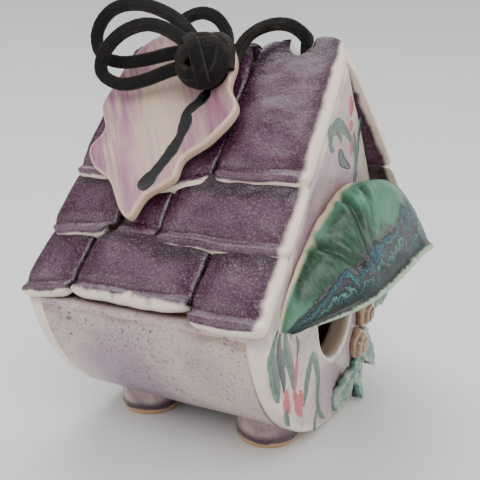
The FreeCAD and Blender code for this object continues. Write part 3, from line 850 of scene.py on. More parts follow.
@dataclass(frozen=True)
class TagGlaze:
    """Brushed glaze of the tag: cream middle, magenta border, pale rim."""

    name: str = "brushed_tag_glaze"
    cream: str = "dccbb8"
    pink: str = "cfaeb9"
    magenta: str = "ab7c98"
    rim: str = "e3cdb9"

    def build(self, kit: Effects) -> bpy.types.Material:
        """Material with diagonal brush streaks that follow the tag's own coordinates."""
        paint = Material(self.name, {"Coat Weight": 0.45, "Coat Roughness": 0.2, "IOR": 1.5})
        across = paint.mark("across")
        down = paint.mark("down")
        slant = paint.combine(across * 0.86 + down * 0.5, down * 0.86 - across * 0.5, 0.0)
        streak = paint.group(kit.streaks, Place=slant, Scale=210.0, Length=0.09)
        drift = paint.noise(paint.place, 70.0, 4.0, 0.6) - 0.5
        side = across + drift * (16 * MM)
        colour = paint.blend(streak("Mask") * 0.75, tint(self.cream), tint(self.pink))
        colour = paint.blend(paint.ramp(side, 26 * MM, 40 * MM) * streak("Mask"), colour, tint("b98aa6"))
        rim = paint.mark("rim")
        near = 1.0 - paint.ramp(across + down * 0.16, 15 * MM, 23 * MM)
        border = paint.math("MAXIMUM", kit.band(paint, rim, 9.0 * MM, 0.8, 60.0) * 0.7, near * 0.9)
        colour = paint.layers(colour, (border * (streak("Mask") * 0.5 + 0.5), self.magenta),
                              (kit.band(paint, rim, 1.3 * MM, 0.6, 200.0) * 0.85, self.rim))
        return paint.finish(colour, 0.26 + streak("Height") * 0.15, streak("Height"), 0.25 * MM)


@dataclass(frozen=True)
class BrushPaint:
    """Underglaze brush paint under a clear glaze."""

    name: str
    full: str
    thin: str

    def build(self, kit: Effects) -> bpy.types.Material:
        """Material that thins out towards the edges of each stroke."""
        paint = Material(self.name, {"Coat Weight": 0.5, "Coat Roughness": 0.14, "IOR": 1.5})
        streak = paint.group(kit.streaks, Place=paint.place, Scale=520.0, Length=0.4)
        drift = paint.noise(paint.place, 500.0, 3.0, 0.5) - 0.5
        edge = paint.ramp(paint.mark("edge") + drift * 0.7, 0.45, 0.95)
        colour = paint.blend(streak("Mask") * 0.45 + edge * 0.6, tint(self.full), tint(self.thin))
        return paint.finish(colour, 0.25 + streak("Height") * 0.15, streak("Height"), 0.15 * MM)


@dataclass(frozen=True)
class FootGlaze:
    """Lavender glaze that pools above a bare tan band at the bottom of each foot."""

    name: str = "foot_glaze"

    def build(self, kit: Effects) -> bpy.types.Material:
        """Material laid out by height above the floor."""
        paint = Material(self.name, {"Coat Weight": 0.35, "Coat Roughness": 0.2, "IOR": 1.5})
        glaze = kit.glaze(paint, ("cbbbb4", "a48b96", "6a475a"), (90.0, 1200.0), 0.5, 0.28)
        level = paint.xyz(paint.place)[2] + (paint.noise(paint.place, 130.0, 3.0, 0.5) - 0.5) * (2.4 * MM)
        dark = paint.ramp(level, 2.0 * MM, 2.6 * MM) * (1.0 - paint.ramp(level, 3.6 * MM, 6.2 * MM))
        colour = paint.blend(dark * 0.85, glaze("Color"), tint("4a2747"))
        clay = paint.blend(paint.noise(paint.place, 800.0, 3.0), tint("c3a377"), tint("d8bd94"))
        bare = 1.0 - paint.ramp(level, 1.7 * MM, 2.1 * MM)
        colour = paint.blend(bare, colour, clay)
        return paint.finish(colour, glaze("Roughness") + bare * 0.4, glaze("Height"), 0.3 * MM)


@dataclass(frozen=True)
class Suede:
    """Black suede of the hanging lace."""

    name: str = "black_suede"

    def build(self, kit: Effects) -> bpy.types.Material:
        """Material with a soft sheen and a worn cut edge."""
        paint = Material(self.name, {"Sheen Weight": 0.05, "Sheen Roughness": 0.5, "Specular IOR Level": 0.25,
                                     "Sheen Tint": (0.5, 0.48, 0.46, 1.0)})
        nap = paint.group(kit.nap, Place=paint.place, Dark=tint("151414", 1.3), Worn=tint("5a524c", 1.3),
                          Edge=paint.mark("edge"), Scale=1500.0)
        return paint.finish(nap("Color"), nap("Roughness"), nap("Height"), 0.5 * MM)


@dataclass(frozen=True)
class Cork:
    """Pressed cork of the clean-out stopper."""

    name: str = "pressed_cork"

    def build(self, kit: Effects) -> bpy.types.Material:
        """Material of cork grains with dark gaps between them."""
        paint = Material(self.name, {"Specular IOR Level": 0.3})
        cells = paint.node("ShaderNodeTexVoronoi", {"feature": "F1"},
                           {"Vector": paint.place, "Scale": 700.0})
        distance = paint.out(cells, "Distance")
        grain = paint.out(paint.node("ShaderNodeSeparateColor", None, {0: paint.out(cells, "Color")}), 0)
        colour = paint.blend(grain, tint("b08a62"), tint("c9a87f"))
        pits = paint.ramp(distance, 0.45, 0.75)
        colour = paint.blend(pits * 0.7, colour, tint("5f3d22"))
        return paint.finish(colour, 0.72 + grain * 0.15, 1.0 - pits, 0.5 * MM)


@dataclass(frozen=True)
class StudioFloor:
    """Plain pale paper sweep."""

    name: str = "pale_paper"

    def build(self) -> bpy.types.Material:
        """Matt material with a very faint mottle."""
        paint = Material(self.name, {"Specular IOR Level": 0.15})
        tone = paint.noise(paint.place, 6.0, 2.0)
        return paint.finish(paint.blend(tone, tint("dedede", 1.0), tint("e2e2e2", 1.0)), 0.85 + tone * 0.05)


@dataclass
class Finishes:
    """Every material of the object."""

    kit: Effects
    made: dict[str, bpy.types.Material] = field(default_factory=dict)

    def __post_init__(self) -> None:
        """Build the materials."""
        recipes = {
            "plate": ClayGlaze("pale_plate_glaze", light="e0d6ca", dark="c6b2ba", share=0.6),
            "body": ClayGlaze("speckled_body_glaze", light="d6c8c0", dark="b09aa9", speck="7d5c7a",
                              share=0.95),
            "inside": InnerClay(),
            "roof": RoofGlaze(),
            "hood": HoodGlaze(),
            "rose": ReliefGlaze("rose_relief_glaze", "c9b39e", "a3876f", "54392f"),
            "leaf": ReliefGlaze("leaf_relief_glaze", "b4c2b2", "6b9a8e", "2f5148"),
            "tag": TagGlaze(),
            "stem": BrushPaint("teal_brush_paint", "35604f", "87a898"),
            "bud": BrushPaint("coral_brush_paint", "c95766", "da9093"),
            "blot": BrushPaint("dark_brush_paint", "27323a", "5b6b70"),
            "ink": BrushPaint("black_brush_paint", "15181a", "23282b"),
            "foot": FootGlaze(),
            "suede": Suede(),
            "cork": Cork(),
        }
        for key, recipe in recipes.items():
            self.made[key] = recipe.build(self.kit)
            LOG.info("material %s", recipe.name)

    def dress(self, piece: bpy.types.Object, key: str) -> None:
        """Give a piece its only material."""
        piece.data.materials.clear()
        piece.data.materials.append(self.made[key])


# ---------------------------------------------------------------- geometry node trees
class Recipe(Graph):
    """Geometry node tree with named inputs, which turns an object's mesh into a finished one."""

    def __init__(self, name: str, inputs: Sequence[tuple[str, str]]) -> None:
        """Make the tree and its sockets.

        Args:
            name: the tree's name.
            inputs: name and kind of socket of each input after the mesh.
        """
        super().__init__(bpy.data.node_groups.new(name, "GeometryNodeTree"))
        face = self.tree.interface
        face.new_socket("Mesh", in_out="INPUT", socket_type="NodeSocketGeometry")
        self.keys = {label: face.new_socket(label, in_out="INPUT", socket_type="NodeSocket" + kind).identifier
                     for label, kind in inputs}
        face.new_socket("Mesh", in_out="OUTPUT", socket_type="NodeSocketGeometry")
        self.open_ends()

    def store(self, mesh: Value, name: str, value: Value) -> Value:
        """Mesh that carries one more named number at each point."""
        made = self.node("GeometryNodeStoreNamedAttribute", {"data_type": "FLOAT", "domain": "POINT"},
                         {"Geometry": mesh, "Name": name, "Value": value})
        return self.out(made)

    def close(self, mesh: Value) -> None:
        """End the tree in real, smooth geometry with the material that it was given."""
        shaded = self.out(self.node("GeometryNodeSetShadeSmooth", None, {"Geometry": mesh}))
        real = self.out(self.node("GeometryNodeRealizeInstances", None, {0: shaded}))
        made = self.node("GeometryNodeSetMaterial", None,
                         {"Geometry": real, "Material": self.given("Material")})
        self.feed(self.exit.inputs[0], self.out(made))

    def cook(self, piece: bpy.types.Object, values: dict[str, Any]) -> bpy.types.Object:
        """Run the tree on an object and keep its result as a plain mesh.

        Args:
            piece: the object, whose mesh is the tree's first input.
            values: the other inputs by name.

        Returns:
            The same object with its finished mesh.
        """
        modifier = piece.modifiers.new(self.tree.name, "NODES")
        modifier.node_group = self.tree
        for label, value in values.items():
            modifier[self.keys[label]] = value
        return keep_result(piece)


def keep_result(piece: bpy.types.Object) -> bpy.types.Object:
    """Turn an object's modifiers into its plain mesh."""
    mesh = evaluated_mesh(piece)
    mesh.name = piece.name
    piece.modifiers.clear()
    piece.data = mesh
    return piece


def cut_round_holes(piece: bpy.types.Object, holes: Sequence[tuple[Vector, float, float]],
                    facets: int = 32) -> None:
    """Cut upright round holes through a piece.

    Args:
        piece: the object.
        holes: centre, radius and length of each hole.
        facets: how many flat sides stand for a hole's wall.
    """
    cutters = []
    for centre, radius, length in holes:
        shell = Shell()
        rows = [[centre + Vector((radius * math.cos(turn), radius * math.sin(turn), end * length / 2))
                 for turn in turns(facets)] for end in (-1, 1)]
        shell.add_grid(rows, {}, wrap_rows=False, cap=True)
        cutter = shell.build(piece.name + "_cutter")
        cutters.append(cutter)
        modifier = piece.modifiers.new("hole", "BOOLEAN")
        modifier.object = cutter
        modifier.solver = "EXACT"
    keep_result(piece)
    for cutter in cutters:
        bpy.data.objects.remove(cutter)


def shingle_recipe() -> Recipe:
    """Tree of one hand-cut clay shingle on a roof slope.

    Returns:
        The tree. A point of the slope is 'along' the ridge, 'down' the slope and 'out' of it.
    """
    names = ["Start", "End", "Head", "Lip start", "Lip end", "Head depth", "Lip depth", "Bed", "Flare head",
             "Flare lip", "Curl", "Corner", "Mitre", "Front", "Pale", "Side", "Ridge", "Fall", "Rise", "Seed",
             "Sag"]
    kit = Recipe("clay_shingle", [(name, "Float") for name in names]
                 + [("Columns", "Int"), ("Rows", "Int"), ("Material", "Material")])
    cube = kit.node("GeometryNodeMeshCube", None, {
        "Size": (1.0, 1.0, 1.0), "Vertices X": kit.given("Columns"), "Vertices Y": kit.given("Rows"),
        "Vertices Z": 4})
    px, py, pz = kit.xyz(kit.out(kit.node("GeometryNodeInputPosition")))

    def spread(place: Value) -> Value:
        """Shares from 0 to 1 that are closer together near both ends."""
        share = place + 0.5
        return share - kit.math("SINE", share * math.tau) * 0.1

    u, v, w = spread(px), spread(py), pz + 0.5
    square_u = kit.math("ABSOLUTE", u * 2.0 - 1.0) ** 7.0
    square_v = kit.math("ABSOLUTE", v * 2.0 - 1.0) ** 7.0
    pull = kit.given("Corner") * square_u * square_v
    flare = kit.given("Flare head") + (kit.given("Flare lip") - kit.given("Flare head")) * v
    start = kit.given("Start") - flare
    end = kit.given("End")
    lip = kit.given("Lip start") + (kit.given("Lip end") - kit.given("Lip start")) * u
    along = start + (end - start) * u - kit.math("SIGN", u - 0.5) * pull
    down = kit.given("Head") + (lip - kit.given("Head")) * v - kit.math("SIGN", v - 0.5) * pull
    spot = kit.combine(along, down, kit.given("Side"))
    sway = kit.noise(spot, 48.0, 2.0, 0.0, 1.0) - 0.5
    dip = kit.noise(spot, 60.0, 2.0, 0.0, 2.0) - 0.5
    free = kit.ramp(v, 0.35, 1.0)
    inland = kit.ramp(along - kit.given("Front"), 0.0, 14 * MM, 0.12, 1.0)
    wavy_along = along + sway * inland * (2.2 * MM)
    wavy_down = down + dip * free * (2.6 * MM)
    side_gap = kit.math("MINIMUM", (u * (end - start)), (1.0 - u) * (end - start))
    lip_gap = (1.0 - v) * (lip - kit.given("Head"))
    rim = kit.math("MAXIMUM", kit.math("SMOOTH_MIN", side_gap, lip_gap, 2 * MM), 0.0)
    depth = kit.given("Head depth") + (kit.given("Lip depth") - kit.given("Head depth")) * v
    pillow = kit.ramp(rim, 0.0, 7 * MM) * (0.9 * MM)
    bead_reach = (lip_gap - 2.0 * MM) / (1.5 * MM)
    bead = kit.math("EXPONENT", bead_reach * bead_reach * -1.0) * (0.75 * MM)
    groove_reach = (lip_gap - 5.2 * MM) / (1.6 * MM)
    groove = kit.math("EXPONENT", groove_reach * groove_reach * -1.0) * (0.8 * MM)
    swell = (kit.noise(spot, 55.0, 3.0, 0.3, kit.given("Seed")) - 0.5) * (2.2 * MM)
    grain = (kit.noise(spot, 260.0, 3.0, 0.5, kit.given("Seed")) - 0.5) * (0.45 * MM)
    radius = 1.7 * MM
    short = (radius - kit.math("MINIMUM", rim, radius)) / radius
    drop = radius - kit.math("SQRT", 1.0 - short * short * 0.999) * radius
    sag = kit.given("Sag") * kit.ramp(v, 0.15, 0.6)
    out = kit.given("Bed") + w * (depth + pillow + bead - groove + swell + grain - drop - sag)
    reach = kit.math("MAXIMUM", 1.0 - (along - start) / (26 * MM), 0.0)
    out = out + kit.given("Curl") * reach * reach * v
    tilt = kit.given("Rise") / kit.given("Fall")
    final_down = wavy_down - out * tilt * kit.given("Mitre") * (1.0 - v) ** 4.0
    x = kit.given("Side") * (kit.given("Fall") * final_down + kit.given("Rise") * out)
    x = kit.given("Side") * kit.math("MAXIMUM", x * kit.given("Side"), 0.0)
    z = kit.given("Ridge") - kit.given("Rise") * final_down + kit.given("Fall") * out
    marked = kit.out(cube, "Mesh")
    marks = {"rim": rim, "lip": lip_gap, "head": v * (lip - kit.given("Head")) - 1 * MM,
             "pale": kit.given("Pale"), "front": along - start}
    for name, value in marks.items():
        marked = kit.store(marked, name, value)
    placed = kit.node("GeometryNodeSetPosition", None,
                      {"Geometry": marked, "Position": kit.combine(x, wavy_along, z)})
    on_left = kit.math("GREATER_THAN", kit.given("Side") * -1.0, 0.0)
    flipped = kit.node("GeometryNodeFlipFaces", None, {"Mesh": kit.out(placed), "Selection": on_left})
    kit.close(kit.out(flipped))
    return kit


def strap_recipe() -> Recipe:
    """Tree of a flat suede lace swept along a line whose points carry the way it faces.

    Returns:
        The tree.
    """
    kit = Recipe("suede_strap", [(name, "Float") for name in ("Width", "Thickness", "Corner", "Nap", "Seed")]
                 + [("Material", "Material")])
    line = kit.out(kit.node("GeometryNodeMeshToCurve", None, {"Mesh": kit.out(kit.entry, "Mesh")}))
    named = kit.node("GeometryNodeInputNamedAttribute", {"data_type": "FLOAT_VECTOR"}, {"Name": "facing"})
    facing = kit.out(named, "Attribute")
    turned = kit.node("GeometryNodeSetCurveNormal", {"mode": "FREE"}, {"Curve": line, "Normal": facing})
    section = kit.node("GeometryNodeCurvePrimitiveQuadrilateral", {"mode": "RECTANGLE"},
                       {0: kit.given("Thickness"), 1: kit.given("Width")})
    rounded = kit.node("GeometryNodeFilletCurve", {"mode": "POLY"},
                       {"Curve": kit.out(section), "Radius": kit.given("Corner"), "Count": 3})
    fine = kit.node("GeometryNodeResampleCurve", None, {"Curve": kit.out(rounded), "Count": 22})
    sideways = kit.xyz(kit.out(kit.node("GeometryNodeInputPosition")))[1]
    share = kit.math("ABSOLUTE", sideways) * 2.0 / kit.given("Width")
    marked = kit.store(kit.out(fine), "edge", share)
    swept = kit.node("GeometryNodeCurveToMesh", None,
                     {"Curve": kit.out(turned), "Profile Curve": marked, "Fill Caps": True})
    place = kit.out(kit.node("GeometryNodeInputPosition"))
    normal = kit.out(kit.node("GeometryNodeInputNormal"))
    fuzz = kit.noise(place, 900.0, 2.0, 0.6, kit.given("Seed"))
    fuzz = fuzz + kit.noise(place, 2300.0, 1.0, 0.0, 5.0) * 0.8 - 0.9
    shift = kit.vector("SCALE", normal, fuzz * kit.given("Nap"))
    moved = kit.node("GeometryNodeSetPosition", None, {"Geometry": kit.out(swept), "Offset": shift})
    kit.close(kit.out(moved))
    return kit


# ---------------------------------------------------------------- roof
@dataclass(frozen=True)
class ShingleCut:
    """How one shingle differs from its plain cut.

    Attributes:
        lips: how much further down the lip reaches at the front end and at the rear end.
        pale: width of the bare cream band along the lip.
        sag: how much lower its face lies.
        corner: how far its corners are rounded.
    """

    lips: tuple[float, float] = (0.0, 0.0)
    pale: float = 0.5 * MM
    sag: float = 0.0
    corner: float = 1.2 * MM


@dataclass
class Roof:
    """Shingled gable roof."""

    finishes: Finishes
    ridge: float = field(default_factory=lambda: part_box("shingle_left_top_front")[1].z)
    front: float = field(default_factory=lambda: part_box("front_plate")[0].y)
    bed: float = -3.6 * MM
    head_depth: float = 1.6 * MM
    lip_depth: float = 3.9 * MM
    courses: tuple[float, ...] = (0.0, 57.0 * MM, 81.5 * MM, 105.5 * MM)
    overlap: float = 3.0 * MM
    flares: tuple[float, ...] = (0.0, 9.0 * MM, 11.5 * MM, 13.0 * MM)
    curls: tuple[float, ...] = (2.5 * MM, 3.0 * MM, 6.0 * MM)
    spacing: float = 0.85 * MM
    hole_radius: float = 4.5 * MM
    hole_inset: float = 3.4 * MM
    hole_length: float = 30.0 * MM
    cuts: dict[str, ShingleCut] = field(default_factory=lambda: {
        "shingle_left_top_middle": ShingleCut((1.4 * MM, 9.0 * MM), 2.4 * MM, 1.3 * MM, 2.0 * MM),
        "shingle_left_top_rear": ShingleCut((3.0 * MM, 2.0 * MM), 1.0 * MM),
        "shingle_left_middle_front": ShingleCut(sag=0.7 * MM),
        "shingle_left_middle_inner": ShingleCut((-1.5 * MM, -2.0 * MM), 0.4 * MM, 1.6 * MM),
        "shingle_left_middle_rear": ShingleCut((-1.0 * MM, 2.0 * MM), 0.6 * MM, 0.0, 5.0 * MM),
        "shingle_left_eave_front": ShingleCut((0.0, 0.0), 0.7 * MM, -0.8 * MM),
        "shingle_left_eave_middle": ShingleCut((-3.5 * MM, -2.5 * MM), 3.2 * MM, 0.2 * MM),
        "shingle_left_eave_rear": ShingleCut((-3.0 * MM, 1.0 * MM), 1.0 * MM),
        "shingle_right_top_middle": ShingleCut((2.0 * MM, 5.0 * MM), 1.6 * MM, 0.8 * MM, 2.0 * MM),
        "shingle_right_middle_inner": ShingleCut((-1.0 * MM, -2.0 * MM), 0.6 * MM, 1.3 * MM),
        "shingle_right_eave_middle": ShingleCut((-2.0 * MM, -1.0 * MM), 2.6 * MM),
    })

    def build(self) -> None:
        """Build the shingles of both slopes and dress the slabs under them."""
        recipe = shingle_recipe()
        names = sorted(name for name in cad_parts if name.startswith("shingle_"))
        for number, name in enumerate(names):
            self.build_shingle(recipe, name, number)
        for name in ("roof_slab_left", "roof_slab_right"):
            self.finishes.dress(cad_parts[name], "inside")

    def build_shingle(self, recipe: Recipe, name: str, number: int) -> None:
        """Build one shingle over its CAD node.

        Args:
            recipe: the shingle's node tree.
            name: the CAD node.
            number: place in the list, which seeds its unevenness.
        """
        side = Side.LEFT if "_left_" in name else Side.RIGHT
        course = next(index for index, row in enumerate(("_top_", "_middle_", "_eave_")) if row in name[8:])
        if name.endswith("_top_middle"):
            course = 0
        cut = self.cuts.get(name, ShingleCut())
        low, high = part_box(name)
        head = self.courses[course] - (self.overlap if course else 0.0)
        lip = self.courses[course + 1]
        at_front = low.y - self.front < 1 * MM
        flared = side is Side.RIGHT and at_front
        flares = self.flares[course:course + 2] if flared else (0.0, 0.0)
        piece = mesh_object(name + "_glazed", [], [])
        recipe.cook(piece, {
            "Start": low.y, "End": high.y, "Head": head, "Lip start": lip + cut.lips[0],
            "Lip end": lip + cut.lips[1], "Head depth": self.head_depth if course else -self.bed,
            "Lip depth": self.lip_depth, "Bed": self.bed, "Flare head": flares[0], "Flare lip": flares[1],
            "Curl": self.curls[course] if flared else 0.0,
            "Corner": cut.corner, "Mitre": 0.0 if course else 1.0, "Front": low.y if at_front else -1.0,
            "Pale": cut.pale, "Side": float(side.value), "Ridge": self.ridge, "Fall": ROOF_RUN / ROOF_SLOPE,
            "Rise": ROOF_RISE / ROOF_SLOPE, "Seed": 3.1 * number, "Sag": cut.sag,
            "Columns": max(24, round((high.y - low.y) / self.spacing)),
            "Rows": max(30, round((lip - head) / self.spacing)), "Material": self.finishes.made["roof"]})
        if not at_front:
            layer = piece.data.attributes["front"]
            layer.data.foreach_set("value", [1.0] * len(piece.data.vertices))
        if course == 0 and not name.endswith("_middle"):
            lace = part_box("lace_inside")
            along = lace[0].y + self.hole_inset if at_front else lace[1].y - self.hole_inset
            cut_round_holes(piece, [(Vector((0.0, along, self.ridge)), self.hole_radius, self.hole_length)])
        settle(piece, Body.HOUSE, Slot.ROOF, name)


def settle(piece: bpy.types.Object, body: Body, slot: Slot, *nodes: str) -> None:
    """Fix a finished piece to its body and hide the CAD nodes that it stands for."""
    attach(piece, body.value)
    if nodes:
        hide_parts(*nodes)
    LOG.info("piece %s: %d faces", piece.name, len(piece.data.polygons))


# ---------------------------------------------------------------- flat clay pieces of any outline
@dataclass
class Plaque:
    """Flat piece with rounded edges, cut to an outline, with holes.

    Attributes:
        outline: corner points in the piece's own two coordinates, anticlockwise.
        holes: closed rows of points, one for each hole.
        spacing: distance between the mesh's inner points.
        rim: radius that rounds the upper edges.
        back_rim: radius that rounds the lower edges.
        insets: rows of points inside each edge, as shares of the rim.
        wall_rows: rows of points down each wall, as shares of its height.
    """

    outline: list[tuple[float, float]]
    holes: list[list[tuple[float, float]]]
    spacing: float
    rim: float
    back_rim: float
    insets: tuple[float, ...] = (0.22, 0.55, 1.0)
    wall_rows: tuple[float, ...] = (0.25, 0.5, 0.75)

    def flat_mesh(self) -> tuple[list[tuple[float, float]], list[tuple[int, ...]], list[list[int]]]:
        """Triangulate the outline.

        Returns:
            Points, triangles and the loops of points along the edges.
        """
        loops = [self.outline, *self.holes]
        points: list[Vector] = []
        numbers: list[list[int]] = []
        for loop in loops:
            numbers.append(list(range(len(points), len(points) + len(loop))))
            points += [Vector(point) for point in loop]
        edges = [(row[index - 1], row[index]) for row in numbers for index in range(len(row))]
        tree = KDTree(len(points))
        for index, point in enumerate(points):
            tree.insert((point.x, point.y, 0.0), index)
        tree.balance()
        inner = []
        for loop, sign in zip(loops, [1] + [-1] * len(self.holes)):
            for share in self.insets:
                inner += self.inset(loop, self.rim * share, sign)
        low_x, low_y = (min(point[axis] for point in self.outline) for axis in (0, 1))
        high_x, high_y = (max(point[axis] for point in self.outline) for axis in (0, 1))
        for row in range(int((high_y - low_y) / self.spacing) + 1):
            for column in range(int((high_x - low_x) / self.spacing) + 1):
                offset = 0.5 * (row % 2)
                spot = (low_x + (column + offset) * self.spacing, low_y + row * self.spacing)
                near = tree.find((spot[0], spot[1], 0.0))[2]
                if near > self.rim + 0.6 * self.spacing:
                    inner.append(spot)
        points += [Vector(spot) for spot in inner if self.holds(spot)]
        result = delaunay_2d_cdt(points, edges, [], 0, 1e-9)
        flat, triangles = result[0], result[2]
        kept = []
        for triangle in triangles:
            middle = sum((flat[number] for number in triangle), Vector((0, 0))) / 3
            if self.holds((middle.x, middle.y)):
                kept.append(tuple(triangle))
        return [(point.x, point.y) for point in flat], kept, numbers

    @staticmethod
    def inset(loop: Sequence[tuple[float, float]], reach: float, sign: int) -> list[tuple[float, float]]:
        """Points beside a loop, at a distance inside the clay."""
        spots = []
        for index, point in enumerate(loop):
            before = loop[index - 1]
            after = loop[(index + 1) % len(loop)]
            along = Vector((after[0] - before[0], after[1] - before[1])).normalized()
            spots.append((point[0] - sign * along.y * reach, point[1] + sign * along.x * reach))
        return spots

    def holds(self, spot: tuple[float, float]) -> bool:
        """True where a spot is in the clay."""
        return inside(self.outline, spot) and not any(inside(hole, spot) for hole in self.holes)

    def build(self, name: str, place: Callable[[float, float, float], Vector],
              faces_out: Callable[[float, float], float], faces_in: Callable[[float, float], float],
              extra: dict[str, Callable[[float, float], float]]) -> bpy.types.Object:
        """Make the piece.

        Args:
            name: name of the object.
            place: position of a point from its two coordinates and its height.
            faces_out: height of the upper face.
            faces_in: height of the lower face.
            extra: marks besides the distance to the rim.

        Returns:
            The object.
        """
        flat, triangles, loops = self.flat_mesh()
        tree = KDTree(sum(len(loop) for loop in loops) * 2)
        for loop in loops:
            for index, number in enumerate(loop):
                here = Vector((*flat[number], 0.0))
                there = Vector((*flat[loop[index - 1]], 0.0))
                tree.insert(here, number)
                tree.insert((here + there) / 2, number)
        tree.balance()
        gaps = [tree.find((x, y, 0.0))[2] for x, y in flat]
        count = len(flat)
        upper = [place(x, y, faces_out(x, y) - rounding(gap, self.rim)) for (x, y), gap in zip(flat, gaps)]
        lower = [place(x, y, faces_in(x, y) + rounding(gap, self.back_rim))
                 for (x, y), gap in zip(flat, gaps)]
        faces = list(triangles) + [tuple(number + count for number in reversed(face)) for face in triangles]
        points = upper + lower
        marks = {"rim": gaps * 2}
        for mark, rule in extra.items():
            marks[mark] = [rule(x, y) for x, y in flat] * 2
        for place_in_list, loop in enumerate(loops):
            rows = [list(loop)]
            for share in self.wall_rows:
                rows.append(list(range(len(points), len(points) + len(loop))))
                points += [upper[number].lerp(lower[number], share) for number in loop]
                for mark in marks:
                    marks[mark] += [marks[mark][number] for number in loop]
            rows.append([number + count for number in loop])
            for first, second in zip(rows, rows[1:]):
                for index in range(len(loop)):
                    wall = (first[index], first[index - 1], second[index - 1], second[index])
                    faces.append(wall if place_in_list == 0 else tuple(reversed(wall)))
        return mesh_object(name, points, faces, marks)


def inside(loop: Sequence[tuple[float, float]], spot: tuple[float, float]) -> bool:
    """True where a spot is inside a closed row of points."""
    odd = False
    x, y = spot
    for index, (x2, y2) in enumerate(loop):
        x1, y1 = loop[index - 1]
        if (y1 > y) != (y2 > y) and x < (x2 - x1) * (y - y1) / (y2 - y1) + x1:
            odd = not odd
    return odd


def even_loop(points: Sequence[tuple[float, float]], spacing: float) -> list[tuple[float, float]]:
    """Points at even distances round a closed row of points."""
    row = [Vector(point) for point in points] + [Vector(points[0])]
    total = sum((b - a).length for a, b in zip(row, row[1:]))
    count = max(8, round(total / spacing))
    spots = []
    reach = 0.0
    for first, second in zip(row, row[1:]):
        length = (second - first).length
        while reach < length - 1e-9 and len(spots) < count:
            spot = first.lerp(second, reach / length)
            spots.append((spot.x, spot.y))
            reach += total / count
        reach -= length
    return spots


def ring(centre: tuple[float, float], radius: float, count: int, sway: float,
         seed: float) -> list[tuple[float, float]]:
    """Slightly uneven circle of points."""
    spots = []
    for turn in turns(count):
        reach = radius + sway * ripple(math.cos(turn), math.sin(turn), 0.0, 0.9, seed)
        spots.append((centre[0] + reach * math.cos(turn), centre[1] + reach * math.sin(turn)))
    return spots


